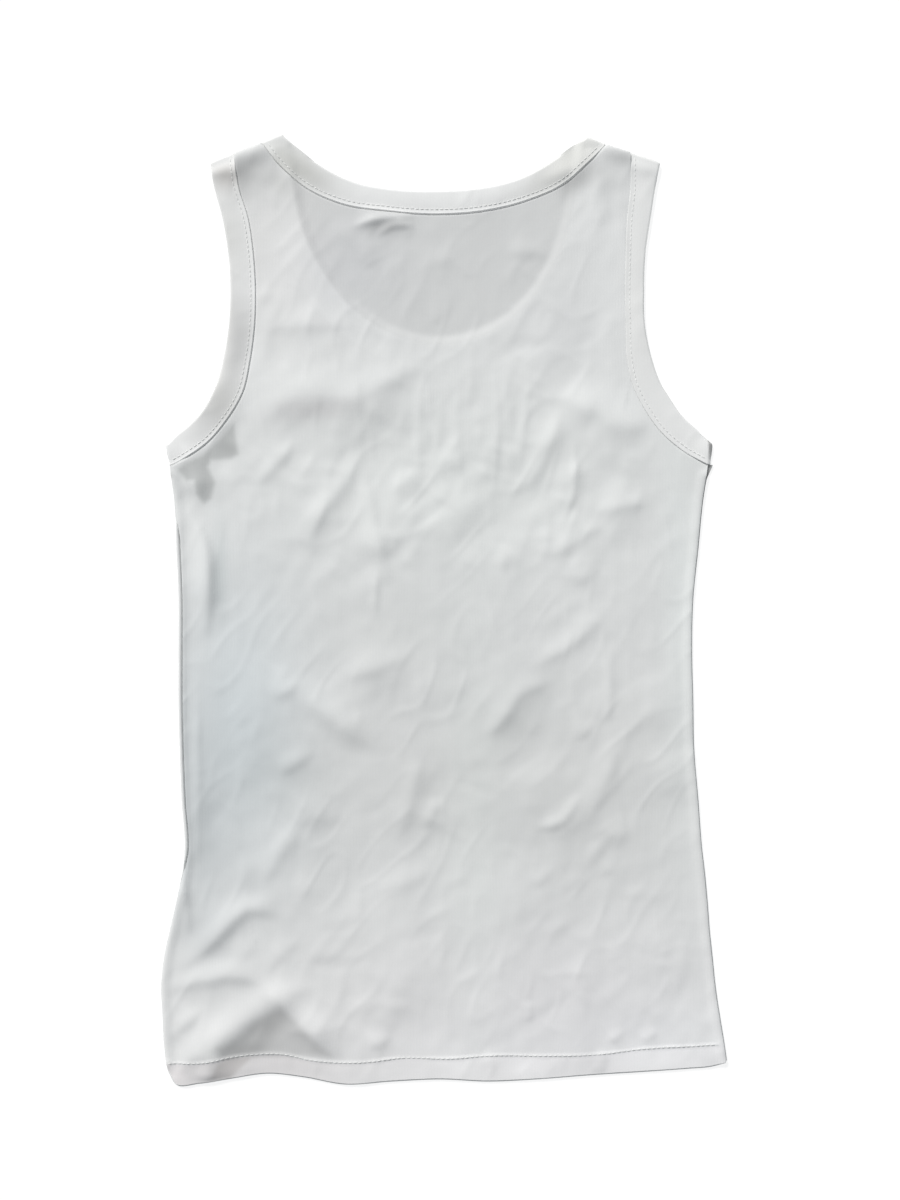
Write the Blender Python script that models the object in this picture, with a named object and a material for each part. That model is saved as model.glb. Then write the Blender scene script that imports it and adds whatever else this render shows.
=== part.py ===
"""Women's cut tank top in fine white jersey, laid flat with its back up.

Five cut pieces, each one closed solid: front panel (below), back panel (on it), neck
binding and two armhole bindings. Metres, +Z up from the surface that the garment lies
on, +Y from hem to shoulders, +X towards the wearer's right. The origin is the centre of
the garment's box, on that surface.
"""

import math

import bmesh
import bpy
import numpy as np
from mathutils import Vector
from mathutils.geometry import delaunay_2d_cdt

MM = 0.001

# Cloth, in millimetres.
WALL = 1.2  # one layer of jersey
BAND_WALL = 1.8  # a folded binding
HEM_EXTRA = 0.8  # what the turned hem adds to the wall
HEM_DEEP = 14.0  # depth of the turned hem
GAP = 0.3  # between pieces, at seams and between layers
TURN_STEPS = 3  # sections inside each fold of a binding
BAND_EDGE = 0.5  # how far a binding's edges are rounded back

# Grids, in millimetres.
BACK_GRID = 13.5
FRONT_GRID = 32.0
EDGE_STEP = 14.0
BAND_STEP = 13.0

# Lie of the cloth, in millimetres.
PILLOW = 1.5  # how far the back stands off the front away from the edges
PILLOW_REACH = 60.0
SCOOP_FLOOR = 0.2  # the back lies on the surface inside the front neckline
LIP_WIDE = 2.8  # side seam rolled on to the back, wearer's left
LIP_HIGH = 1.8
LIP_LOW_Y, LIP_HIGH_Y, LIP_FADE = -195.0, 75.0, 30.0
HEM_PEEK = 1.2  # how far the front shows below the back
SIDE_PEEK = 0.8  # how far it shows past the back, wearer's right

CENTRE_X, CENTRE_Y = 0.185, 0.98  # puts the box's centre on the origin


def table(columns, *rows):
    names = columns.split()
    return [dict(zip(names, row)) for row in rows]


# Back neck binding, from the wearer's left shoulder to the right one.
NECK_BACK = table(
    "seam_x  seam_y  rim_x   rim_y",
    (-127.5, 326.0, -113.0, 332.0),
    (-116.0, 311.0, -102.5, 322.5),
    (-100.0, 296.5, -89.0, 311.5),
    (-72.5, 283.5, -65.5, 299.5),
    (-38.0, 278.0, -35.5, 293.5),
    (-5.0, 276.0, -5.0, 292.5),
    (29.0, 278.5, 26.0, 294.5),
    (60.0, 286.5, 53.5, 301.5),
    (87.0, 299.5, 77.5, 314.5),
    (102.0, 313.5, 90.0, 324.5),
    (112.5, 325.0, 99.0, 330.0),
)

# Front neck binding, a deeper scoop between the same two shoulders.
NECK_FRONT = table(
    "seam_x  seam_y  rim_x   rim_y",
    (-127.5, 326.0, -113.0, 332.0),
    (-126.5, 307.5, -109.5, 311.0),
    (-123.5, 286.5, -106.0, 290.5),
    (-118.5, 265.5, -102.0, 271.0),
    (-110.0, 244.5, -95.0, 251.5),
    (-97.5, 222.0, -83.5, 231.5),
    (-79.5, 199.5, -68.0, 212.0),
    (-56.5, 182.0, -49.5, 197.5),
    (-30.5, 171.0, -27.5, 187.5),
    (-3.0, 166.5, -3.0, 183.5),
    (23.5, 170.0, 20.0, 187.0),
    (48.0, 181.5, 40.0, 196.0),
    (71.0, 200.0, 58.5, 211.5),
    (90.0, 225.5, 74.5, 233.0),
    (102.0, 252.0, 85.0, 257.5),
    (108.0, 279.5, 91.5, 283.0),
    (111.0, 304.0, 95.5, 307.5),
    (112.5, 325.0, 99.0, 330.0),
)

# Armhole bindings, from the shoulder down to the top of the side seam. The front and the
# back half of each lie on each other.
ARM_LEFT = table(
    "seam_x  seam_y  rim_x   rim_y",
    (-147.5, 318.5, -164.0, 311.5),
    (-144.0, 296.0, -161.5, 297.0),
    (-137.0, 272.5, -155.0, 272.5),
    (-133.5, 248.0, -151.0, 248.0),
    (-132.0, 223.5, -149.5, 223.5),
    (-132.5, 199.0, -150.5, 199.0),
    (-135.5, 174.5, -154.0, 175.5),
    (-141.0, 151.0, -159.5, 155.5),
    (-151.0, 133.0, -167.5, 139.5),
    (-165.5, 116.0, -179.0, 127.5),
    (-179.0, 106.5, -188.5, 120.5),
    (-192.0, 100.0, -195.0, 115.0),
)
ARM_RIGHT = table(
    "seam_x  seam_y  rim_x   rim_y",
    (130.5, 319.0, 151.0, 312.0),
    (130.0, 296.0, 147.5, 294.5),
    (127.5, 272.5, 144.0, 272.5),
    (126.5, 248.0, 140.5, 248.0),
    (126.0, 223.5, 139.5, 223.5),
    (126.5, 199.0, 140.0, 199.0),
    (127.5, 174.5, 144.5, 176.5),
    (132.5, 153.5, 151.0, 158.0),
    (140.5, 138.5, 158.0, 146.5),
    (151.0, 124.0, 166.0, 135.0),
    (165.5, 111.5, 177.0, 125.0),
    (185.0, 101.0, 186.5, 116.0),
)

# Side edges of the laid garment, from the hem up.
SIDES = table(
    "y       left_x  right_x",
    (-315.0, -195.0, 197.5),
    (-301.5, -196.4, 195.5),
    (-287.5, -197.0, 193.2),
    (-263.0, -198.0, 189.6),
    (-245.5, -196.4, 187.8),
    (-224.5, -192.0, 185.6),
    (-203.5, -187.2, 184.0),
    (-182.5, -183.0, 182.0),
    (-168.5, -181.7, 180.3),
    (-133.5, -183.8, 177.6),
    (-98.5, -185.2, 174.7),
    (-63.5, -186.0, 174.0),
    (-28.5, -186.0, 173.2),
    (6.5, -186.0, 174.0),
    (41.5, -187.4, 177.5),
    (76.5, -189.0, 181.0),
    (91.0, -191.0, 183.2),
)

# Hem edge, from the wearer's left to the right.
HEM = table(
    "x       y",
    (-193.0, -324.0),
    (-188.0, -332.5),
    (-171.0, -332.0),
    (-149.0, -328.5),
    (-123.5, -325.0),
    (-98.5, -327.5),
    (-70.5, -332.5),
    (-37.0, -330.5),
    (-3.0, -329.0),
    (30.5, -330.5),
    (64.0, -329.0),
    (103.0, -326.0),
    (142.5, -323.5),
    (170.5, -321.5),
    (187.0, -320.0),
    (196.5, -317.5),
)

# The largest folds of the back, as ridges through three points: how wide and how high.
FOLDS = table(
    "x1      y1      x2      y2      x3      y3      wide  high",
    (-172.0, 66.0, -171.0, 20.0, -172.0, -30.0, 7.0, 2.2),
    (-150.0, 122.0, -160.0, 104.0, -168.0, 84.0, 7.0, 2.6),
    (-134.0, 132.0, -86.0, 152.0, -34.0, 137.0, 9.0, 2.8),
    (-102.0, 44.0, -84.0, 74.0, -61.0, 108.0, 9.0, 3.4),
    (-53.0, 76.0, -45.0, 44.0, -35.0, 14.0, 8.0, 2.4),
    (79.0, 143.0, 112.0, 127.0, 138.0, 128.0, 9.0, 2.8),
    (77.0, 128.0, 66.0, 104.0, 44.0, 84.0, 8.0, 2.6),
    (-92.0, -58.0, -66.0, -88.0, -40.0, -108.0, 10.0, 3.4),
    (-124.0, -112.0, -110.0, -104.0, -97.0, -97.0, 8.0, 2.0),
    (-34.0, -152.0, -27.0, -132.0, -19.0, -112.0, 8.0, 2.4),
    (62.0, -156.0, 96.0, -136.0, 128.0, -80.0, 10.0, 3.6),
    (68.0, -35.0, 88.0, -22.0, 106.0, -6.0, 9.0, 2.4),
    (-181.0, -244.0, -152.0, -217.0, -122.0, -209.0, 9.0, 3.6),
    (-186.0, -262.0, -150.0, -253.0, -124.0, -262.0, 7.0, 2.4),
    (-76.0, -304.0, -110.0, -277.0, -156.0, -306.0, 9.0, 3.4),
)


# ---------------------------------------------------------------- curves and distances


def smooth(points, step):
    """Points about `step` apart along a smooth curve through the given ones. Rows of four
    numbers are two curves side by side, and are spaced along the line between them."""
    p = np.asarray(points, float)
    line = p if p.shape[1] == 2 else (p[:, :2] + p[:, 2:]) / 2
    at = np.r_[0, np.cumsum(np.hypot(*np.diff(line, axis=0).T))]
    slope = np.gradient(p, at, axis=0)
    s = np.linspace(0, at[-1], max(2, round(at[-1] / step) + 1))
    i = np.clip(np.searchsorted(at, s, side="right") - 1, 0, len(at) - 2)
    h = (at[i + 1] - at[i])[:, None]
    t = (s[:, None] - at[i][:, None]) / h
    return (
        (1 + 2 * t) * (1 - t) ** 2 * p[i]
        + t * (1 - t) ** 2 * h * slope[i]
        + t**2 * (3 - 2 * t) * p[i + 1]
        + t**2 * (t - 1) * h * slope[i + 1]
    )


def columns(rows, names):
    return [[row[name] for name in names.split()] for row in rows]


def distance(points, line):
    """Distance of each point from a polyline."""
    points, line = np.asarray(points, float), np.asarray(line, float)
    a, d = line[:-1], np.diff(line, axis=0)
    best = np.full(len(points), np.inf)
    for start, along in zip(a, d):
        size = max(along @ along, 1e-9)
        t = np.clip((points - start) @ along / size, 0, 1)
        gap = points - start - t[:, None] * along
        best = np.minimum(best, np.hypot(gap[:, 0], gap[:, 1]))
    return best


def inside(points, polygon):
    points, polygon = np.asarray(points, float), np.asarray(polygon, float)
    result = np.zeros(len(points), bool)
    for a, b in zip(polygon, np.roll(polygon, -1, axis=0)):
        crosses = (a[1] > points[:, 1]) != (b[1] > points[:, 1])
        if a[1] == b[1]:
            continue
        x = a[0] + (points[:, 1] - a[1]) * (b[0] - a[0]) / (b[1] - a[1])
        result ^= crosses & (points[:, 0] < x)
    return result


def ease(value):
    t = np.clip(value, 0, 1)
    return t * t * (3 - 2 * t)


def unit(v):
    return v / max(np.hypot(*v), 1e-9)


# ---------------------------------------------------------------- bindings as stations


FOLD_RADIUS = (GAP + BAND_WALL) / 2  # of a binding's middle, where it turns over
FOLD_REACH = FOLD_RADIUS + BAND_WALL / 2


def outward(station, beside):
    """Level direction in which a binding turns over at its last station."""
    seam, rim = station[:2], station[2:]
    across = unit(rim - seam)
    way = np.array([-across[1], across[0]])
    ahead = (station - beside)[:2] + (station - beside)[2:]
    return way if way @ ahead > 0 else -way


def stations(rows):
    """Seam and rim points along a binding, its ends drawn in by the depth of the fold."""
    line = smooth(columns(rows, "seam_x seam_y rim_x rim_y"), BAND_STEP)
    for end, beside in ((0, 1), (-1, -2)):
        back_in = outward(line[end], line[beside]) * FOLD_REACH
        line[end] -= np.r_[back_in, back_in]
    return line


NECK_BACK_LINE = stations(NECK_BACK)
NECK_FRONT_LINE = stations(NECK_FRONT)
ARM_LEFT_LINE = stations(ARM_LEFT)
ARM_RIGHT_LINE = stations(ARM_RIGHT)
HEM_LINE = smooth(columns(HEM, "x y"), EDGE_STEP)
LEFT_LINE = smooth(columns(SIDES, "left_x y"), EDGE_STEP)
RIGHT_LINE = smooth(columns(SIDES, "right_x y"), EDGE_STEP)


# ---------------------------------------------------------------- heights of the layers


def lip(y):
    """How far the left side seam is rolled up at this height, from 0 to 1."""
    return ease((y - LIP_LOW_Y) / LIP_FADE) * ease((LIP_HIGH_Y - y) / LIP_FADE)


def resting_height(points):
    """Lowest height for the back: just clear of what lies under it."""
    points = np.asarray(points, float)
    rim, seam = NECK_FRONT_LINE[:, 2:], NECK_FRONT_LINE[:, :2]
    in_scoop = inside(points, rim)
    from_rim = distance(points, rim)
    on_band = inside(points, seam)
    from_seam = distance(points, seam)
    over_panel, over_band = WALL + GAP, BAND_WALL + GAP
    over_hem = WALL + HEM_EXTRA + GAP
    height = over_panel + (over_band - over_panel) * np.where(
        on_band, 1, ease(1 - (from_seam - 2) / 12)
    )
    sunk = SCOOP_FLOOR + (over_band - SCOOP_FLOOR) * ease(1 - (from_rim - 1) / 13)
    height = np.where(in_scoop, sunk, height)
    from_hem = distance(points, HEM_LINE)
    return np.maximum(
        height,
        over_panel
        + (over_hem - over_panel) * ease(1 - (from_hem - HEM_DEEP - 3) / 14),
    )


def folds(points):
    points = np.asarray(points, float)
    total = np.zeros(len(points))
    for fold in FOLDS:
        line = smooth(
            [(fold["x%d" % k], fold["y%d" % k]) for k in (1, 2, 3)], fold["wide"]
        )
        away = distance(points, line) / fold["wide"]
        total = np.maximum(total, fold["high"] * np.exp(-(away**2)))
    return total


def back_underside(points, outline):
    points = np.asarray(points, float)
    edge = distance(points, np.vstack([outline, outline[:1]]))
    scoop = inside(points, NECK_FRONT_LINE[:, 2:]).astype(float)
    loose = ease(edge / PILLOW_REACH) * (1 - scoop)
    return (
        resting_height(points) + PILLOW * loose + folds(points) * ease(edge / 12 - 0.1)
    )


def hem_zone(points, line):
    return ease((HEM_DEEP + 2 - distance(points, line)) / 2)


# ---------------------------------------------------------------- outlines of the panels


def inset(polygon, amounts):
    """The polygon, clockwise, with each edge moved in by its own amount."""
    polygon = np.asarray(polygon, float)
    edges = np.roll(polygon, -1, axis=0) - polygon
    normals = np.array([unit(np.array([e[1], -e[0]])) for e in edges])
    moved = []
    for k, point in enumerate(polygon):
        n1, n2 = normals[k - 1], normals[k]
        a1, a2 = amounts[k - 1], amounts[k]
        if abs(n1[0] * n2[1] - n1[1] * n2[0]) < 0.15:
            shift = (n1 * a1 + n2 * a2) / 2
        else:
            shift = np.linalg.solve(np.array([n1, n2]), np.array([a1, a2]))
        moved.append(point + shift)
    return np.array(moved)


def panel_outline(neck_seam, left_in, right_in, hem_in, shoulder_in):
    """Clockwise: up the left side, over the armhole, shoulder, neck and back down."""
    parts = [
        (LEFT_LINE, left_in),
        (ARM_LEFT_LINE[::-1, :2], lambda p: GAP),
        (neck_seam, lambda p: GAP),
        (ARM_RIGHT_LINE[:, :2], lambda p: GAP),
        (RIGHT_LINE[::-1], right_in),
        (HEM_LINE[::-1], hem_in),
    ]
    polygon, amounts = [], []
    for line, amount in parts:
        for k, point in enumerate(line):
            polygon.append(point)
            last = k == len(line) - 1
            after = amount
            if last:
                x, y = point
                after = (
                    shoulder_in
                    if y > 300
                    else (left_in if x < 0 else right_in)
                    if y > 0 or y < -300
                    else amount
                )
            amounts.append(after)
    ahead = polygon[1:] + polygon[:1]
    middles = [(a + b) / 2 for a, b in zip(polygon, ahead)]
    return inset(polygon, [after(p) for after, p in zip(amounts, middles)])


BACK_OUTLINE = panel_outline(
    NECK_BACK_LINE[:, :2],
    left_in=lambda p: 0.6 + (LIP_WIDE + GAP) * lip(p[1]),
    right_in=lambda p: SIDE_PEEK,
    hem_in=lambda p: HEM_PEEK,
    shoulder_in=lambda p: -1.2,
)
FRONT_OUTLINE = panel_outline(
    NECK_FRONT_LINE[:, :2],
    left_in=lambda p: 0.0,
    right_in=lambda p: 0.0,
    hem_in=lambda p: 0.0,
    shoulder_in=lambda p: -1.2,
)


# ---------------------------------------------------------------- solids


def make_object(name, verts, faces, colour, roughness):
    mesh = bpy.data.meshes.new(name)
    shift = np.array([CENTRE_X, CENTRE_Y, 0.0])
    mesh.from_pydata([tuple((np.asarray(v) + shift) * MM) for v in verts], [], faces)
    solid = bmesh.new()
    solid.from_mesh(mesh)
    bmesh.ops.triangulate(solid, faces=solid.faces[:])
    bmesh.ops.recalc_face_normals(solid, faces=solid.faces[:])
    solid.to_mesh(mesh)
    solid.free()
    mesh.shade_smooth()
    mesh.set_sharp_from_angle(angle=math.radians(50))
    material = bpy.data.materials.new(name)
    material.use_nodes = True
    shader = material.node_tree.nodes["Principled BSDF"]
    shader.inputs["Base Color"].default_value = (*colour, 1)
    shader.inputs["Roughness"].default_value = roughness
    shader.inputs["Metallic"].default_value = 0
    mesh.materials.append(material)
    obj = bpy.data.objects.new(name, mesh)
    bpy.context.scene.collection.objects.link(obj)
    return obj


def grid_points(outline, spacing, clear, extra=()):
    """Staggered points inside an outline, kept off its edge and off the extra ones."""
    low, high = outline.min(axis=0), outline.max(axis=0)
    rows = []
    for k, y in enumerate(np.arange(low[1], high[1], spacing * 0.87)):
        start = low[0] + (spacing / 2 if k % 2 else 0)
        rows += [(x, y) for x in np.arange(start, high[0], spacing)]
    points = np.array(rows)
    points = points[inside(points, outline)]
    closed = np.vstack([outline, outline[:1]])
    points = points[distance(points, closed) > clear]
    if len(extra):
        extra = np.asarray(extra)
        near = np.min(
            np.hypot(
                points[:, None, 0] - extra[None, :, 0],
                points[:, None, 1] - extra[None, :, 1],
            ),
            axis=1,
        )
        points = np.vstack([points[near > spacing * 0.45], extra])
    return points


def fold_points(outline):
    """Points along each fold's crest and its two feet."""
    found = []
    for fold in FOLDS:
        crest = smooth([(fold["x%d" % k], fold["y%d" % k]) for k in (1, 2, 3)], 14)
        for along, point in enumerate(crest):
            a, b = crest[max(along - 1, 0)], crest[min(along + 1, len(crest) - 1)]
            side = unit(np.array([a[1] - b[1], b[0] - a[0]])) * fold["wide"]
            found += [point, point + side, point - side]
    found = np.array(found)
    closed = np.vstack([outline, outline[:1]])
    found = found[inside(found, outline) & (distance(found, closed) > 6)]
    kept = []
    for point in found:
        if all(np.hypot(*(point - other)) > 4.5 for other in kept):
            kept.append(point)
    return np.array(kept)


def shell(outline, inner, top, underside, chains=()):
    """A closed shell over an outline: both faces share one triangulation, which keeps
    the edges along each chain of inner points."""
    edge = len(outline)
    flat = [Vector(p) for p in np.vstack([outline, inner])]
    ring = [(k, (k + 1) % edge) for k in range(edge)]
    for chain in chains:
        ring += [(edge + a, edge + b) for a, b in zip(chain, chain[1:])]
    found = delaunay_2d_cdt(flat, ring, [], 1, 1e-4)
    points = np.array([(v.x, v.y) for v in found[0]])
    faces = [tuple(f) for f in found[2]]
    count = len(points)
    verts = [(x, y, z) for (x, y), z in zip(points, top(points))]
    verts += [(x, y, z) for (x, y), z in zip(points, underside(points))]
    sides = {}
    for face in faces:
        for a, b in zip(face, face[1:] + face[:1]):
            if (b, a) in sides:
                del sides[(b, a)]
            else:
                sides[(a, b)] = True
    walls = [(a, b, b + count, a + count) for a, b in sides]
    return verts, faces + [tuple(k + count for k in f[::-1]) for f in faces] + walls


def band_section(seam, rim, low, high):
    """Six points round a folded strip, from seam to rim; low and high give heights."""
    wide = np.hypot(*(rim - seam))
    e = BAND_EDGE / wide
    spots = [(e, 0), (0, 0.5), (e, 1), (1 - e, 1), (1, 0.5), (1 - e, 0)]
    result = []
    for across, up in spots:
        x, y = seam + (rim - seam) * across
        base, top = low((x, y)), high((x, y))
        result.append((x, y, base + (top - base) * up))
    return result


def band_turn(station, way, angle, low_middle, high_middle):
    """The same section, turned about the fold by an angle from the back to the front."""
    seam, rim = station[:2], station[2:]
    wide = np.hypot(*(rim - seam))
    e = BAND_EDGE / wide
    spots = [(e, -1), (0, 0), (e, 1), (1 - e, 1), (1, 0), (1 - e, -1)]
    centre = (low_middle + high_middle) / 2
    radius = (high_middle - low_middle) / 2
    result = []
    for across, out in spots:
        reach = radius + out * BAND_WALL / 2
        x, y = seam + (rim - seam) * across + way * reach * math.sin(angle)
        result.append((x, y, centre + reach * math.cos(angle)))
    return result


def binding(back_line, front_line):
    """A ring: the back run on top, folded under at each end into the front run."""
    over = BAND_WALL + GAP
    last = len(back_line) - 1

    def back_low(point):
        return float(resting_height([point])[0])

    sections = []
    for k, station in enumerate(back_line):
        if k in (0, last):
            sections.append(
                band_section(
                    station[:2], station[2:], lambda p: over, lambda p: over + BAND_WALL
                )
            )
        else:
            sections.append(
                band_section(
                    station[:2],
                    station[2:],
                    lambda p: max(back_low(p), back_floor(p)),
                    lambda p: max(back_low(p), back_floor(p)) + BAND_WALL,
                )
            )
    turns = [math.pi * (k + 1) / (TURN_STEPS + 1) for k in range(TURN_STEPS)]
    middle_low, middle_high = BAND_WALL / 2, over + BAND_WALL / 2
    way = outward(back_line[-1], back_line[-2])
    for angle in turns:
        sections.append(band_turn(back_line[-1], way, angle, middle_low, middle_high))
    for station in front_line[::-1]:
        sections.append(
            band_section(station[:2], station[2:], lambda p: BAND_WALL, lambda p: 0.0)
        )
    way = outward(back_line[0], back_line[1])
    for angle in turns[::-1]:
        sections.append(band_turn(back_line[0], way, angle, middle_low, middle_high))
    count, size = len(sections), len(sections[0])
    verts = [point for section in sections for point in section]
    faces = []
    for i in range(count):
        j = (i + 1) % count
        for k in range(size):
            m = (k + 1) % size
            faces.append(
                (i * size + k, j * size + k, j * size + m, i * size + m)
            )
    return verts, faces


def back_floor(point):
    """Over its own front half an armhole binding stays a whole folded strip up."""
    near_arm = min(
        distance([point], ARM_LEFT_LINE[:, 2:])[0],
        distance([point], ARM_LEFT_LINE[:, :2])[0],
        distance([point], ARM_RIGHT_LINE[:, 2:])[0],
        distance([point], ARM_RIGHT_LINE[:, :2])[0],
    )
    return BAND_WALL + GAP if near_arm < 10 else 0.0


def front_top(points):
    height = WALL + HEM_EXTRA * hem_zone(points, HEM_LINE)
    left = distance(points, LEFT_LINE)
    rolled = lip(points[:, 1])
    raised = left < (LIP_WIDE - 0.3) * rolled
    return height + np.where(raised, LIP_HIGH * np.clip(rolled - 0.2, 0, 1) / 0.8, 0)


def lip_points():
    """Two rows inside the left edge: the rolled seam's inner side and its foot."""
    rows = []
    for x, y in LEFT_LINE:
        if lip(y) > 0.05:
            rows.append((x + (LIP_WIDE - 0.45) * lip(y), y))
            rows.append((x + LIP_WIDE * lip(y) + 0.05, y))
    return np.array(rows), [range(0, len(rows), 2), range(1, len(rows), 2)]


def build():
    for old in list(bpy.data.objects):
        bpy.data.objects.remove(old, do_unlink=True)

    back_inner = grid_points(BACK_OUTLINE, BACK_GRID, 6.5, fold_points(BACK_OUTLINE))
    thick = lambda p: WALL + HEM_EXTRA * hem_zone(p, HEM_LINE)
    verts, faces = shell(
        BACK_OUTLINE,
        back_inner,
        top=lambda p: back_underside(p, BACK_OUTLINE) + thick(p),
        underside=lambda p: back_underside(p, BACK_OUTLINE),
    )
    make_object("back_panel", verts, faces, (0.78, 0.79, 0.79), 0.9)

    hem_rows = [(x, y + deep) for x, y in HEM_LINE[1:-1] for deep in (13.5, 16.5)]
    front_inner = grid_points(FRONT_OUTLINE, FRONT_GRID, 18.5)
    rolled, chains = lip_points()
    front_inner = np.vstack([rolled, front_inner, hem_rows])
    verts, faces = shell(
        FRONT_OUTLINE,
        front_inner,
        top=front_top,
        underside=lambda p: np.zeros(len(p)),
        chains=chains,
    )
    make_object("front_panel", verts, faces, (0.75, 0.76, 0.76), 0.9)

    for name, back_line, front_line in (
        ("neck_binding", NECK_BACK_LINE, NECK_FRONT_LINE),
        ("armhole_binding_left", ARM_LEFT_LINE, ARM_LEFT_LINE),
        ("armhole_binding_right", ARM_RIGHT_LINE, ARM_RIGHT_LINE),
    ):
        verts, faces = binding(back_line, front_line)
        make_object(name, verts, faces, (0.82, 0.83, 0.82), 0.9)


build()
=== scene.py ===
"""Looks of the tank top: jersey panels, bindings, stitches, floor, light and camera.

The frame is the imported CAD. All tables are in millimetres in that frame: +Z up from the
surface, +Y from hem to shoulders, +X towards the wearer's right.
"""

import math

import bmesh
import bpy
import numpy as np
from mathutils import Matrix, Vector
from mathutils.geometry import delaunay_2d_cdt
from mathutils.kdtree import KDTree


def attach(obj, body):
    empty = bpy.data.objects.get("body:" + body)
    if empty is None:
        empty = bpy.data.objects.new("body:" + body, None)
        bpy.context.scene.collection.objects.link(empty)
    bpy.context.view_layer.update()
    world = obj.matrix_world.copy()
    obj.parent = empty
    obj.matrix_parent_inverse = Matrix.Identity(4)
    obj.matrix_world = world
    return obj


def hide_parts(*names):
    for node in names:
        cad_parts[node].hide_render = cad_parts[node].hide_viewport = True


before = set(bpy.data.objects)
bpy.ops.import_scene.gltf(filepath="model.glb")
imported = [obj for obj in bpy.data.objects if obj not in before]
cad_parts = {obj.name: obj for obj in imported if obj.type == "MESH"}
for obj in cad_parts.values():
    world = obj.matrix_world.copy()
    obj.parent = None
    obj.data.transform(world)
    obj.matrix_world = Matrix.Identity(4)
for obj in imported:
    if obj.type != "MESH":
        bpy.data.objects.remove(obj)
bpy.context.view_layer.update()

MM = 0.001
CENTRE = np.array([0.185, 0.98])  # the same shift as the CAD's

# Cloth
WALL = 1.0
FRONT_TOP = 1.2
OVER_PANEL = 1.45
OVER_BAND = 2.1
BAND_SHOWS = 1.85
SCOOP_FLOOR = 0.25
HEM_DEEP = 14.0

# Grids
BACK_GRID = 1.78
FRONT_GRID = 2.6
HIDDEN_GRID = 5.0
EDGE_STEP = 1.8
BAND_STEP = 1.6

LIGHT_SIDE = np.array([-0.5, 0.87])


def table(columns, *rows):
    names = columns.split()
    return [dict(zip(names, row)) for row in rows]


def columns(rows, names):
    return np.array([[row[name] for name in names.split()] for row in rows], float)


NECK_BACK = table(
    "seam_x  seam_y  rim_x   rim_y",
    (-127.5, 326.0, -113.0, 332.0),
    (-116.0, 311.0, -102.5, 322.5),
    (-100.0, 296.5, -89.0, 311.5),
    (-72.5, 283.5, -65.5, 299.5),
    (-38.0, 278.0, -35.5, 293.5),
    (-5.0, 276.0, -5.0, 292.5),
    (29.0, 278.5, 26.0, 294.5),
    (60.0, 286.5, 53.5, 301.5),
    (87.0, 299.5, 77.5, 314.5),
    (102.0, 313.5, 90.0, 324.5),
    (112.5, 325.0, 99.0, 330.0),
)
NECK_FRONT = table(
    "seam_x  seam_y  rim_x   rim_y",
    (-127.5, 326.0, -113.0, 332.0),
    (-126.5, 307.5, -109.5, 311.0),
    (-123.5, 286.5, -106.0, 290.5),
    (-118.5, 265.5, -102.0, 271.0),
    (-110.0, 244.5, -95.0, 251.5),
    (-97.5, 222.0, -83.5, 231.5),
    (-79.5, 199.5, -68.0, 212.0),
    (-56.5, 182.0, -49.5, 197.5),
    (-30.5, 171.0, -27.5, 187.5),
    (-3.0, 166.5, -3.0, 183.5),
    (23.5, 170.0, 20.0, 187.0),
    (48.0, 181.5, 40.0, 196.0),
    (71.0, 200.0, 58.5, 211.5),
    (90.0, 225.5, 74.5, 233.0),
    (102.0, 252.0, 85.0, 257.5),
    (108.0, 279.5, 91.5, 283.0),
    (111.0, 304.0, 95.5, 307.5),
    (112.5, 325.0, 99.0, 330.0),
)
ARM_LEFT = table(
    "seam_x  seam_y  rim_x   rim_y",
    (-147.5, 318.5, -164.0, 311.5),
    (-144.0, 296.0, -161.5, 297.0),
    (-137.0, 272.5, -155.0, 272.5),
    (-133.5, 248.0, -151.0, 248.0),
    (-132.0, 223.5, -149.5, 223.5),
    (-132.5, 199.0, -150.5, 199.0),
    (-135.5, 174.5, -154.0, 175.5),
    (-141.0, 151.0, -159.5, 155.5),
    (-151.0, 133.0, -167.5, 139.5),
    (-165.5, 116.0, -179.0, 127.5),
    (-179.0, 106.5, -188.5, 120.5),
    (-192.0, 100.0, -195.0, 115.0),
)
ARM_RIGHT = table(
    "seam_x  seam_y  rim_x   rim_y",
    (130.5, 319.0, 151.0, 312.0),
    (130.0, 296.0, 147.5, 294.5),
    (127.5, 272.5, 144.0, 272.5),
    (126.5, 248.0, 140.5, 248.0),
    (126.0, 223.5, 139.5, 223.5),
    (126.5, 199.0, 140.0, 199.0),
    (127.5, 174.5, 144.5, 176.5),
    (132.5, 153.5, 151.0, 158.0),
    (140.5, 138.5, 158.0, 146.5),
    (151.0, 124.0, 166.0, 135.0),
    (165.5, 111.5, 177.0, 125.0),
    (185.0, 101.0, 186.5, 116.0),
)
SIDES = table(
    "y       left_x  right_x",
    (-315.0, -195.0, 197.5),
    (-301.5, -196.4, 195.5),
    (-287.5, -197.0, 193.2),
    (-263.0, -198.0, 189.6),
    (-245.5, -196.4, 187.8),
    (-224.5, -192.0, 185.6),
    (-203.5, -187.2, 184.0),
    (-182.5, -183.0, 182.0),
    (-168.5, -181.7, 180.3),
    (-133.5, -183.8, 177.6),
    (-98.5, -185.2, 174.7),
    (-63.5, -186.0, 174.0),
    (-28.5, -186.0, 173.2),
    (6.5, -186.0, 174.0),
    (41.5, -187.4, 177.5),
    (76.5, -189.0, 181.0),
    (91.0, -191.0, 183.2),
)
HEM = table(
    "x       y",
    (-193.0, -324.0),
    (-188.0, -332.5),
    (-171.0, -332.0),
    (-149.0, -328.5),
    (-123.5, -325.0),
    (-98.5, -327.5),
    (-70.5, -332.5),
    (-37.0, -330.5),
    (-3.0, -329.0),
    (30.5, -330.5),
    (64.0, -329.0),
    (103.0, -326.0),
    (142.5, -323.5),
    (170.5, -321.5),
    (187.0, -320.0),
    (196.5, -317.5),
)
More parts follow.
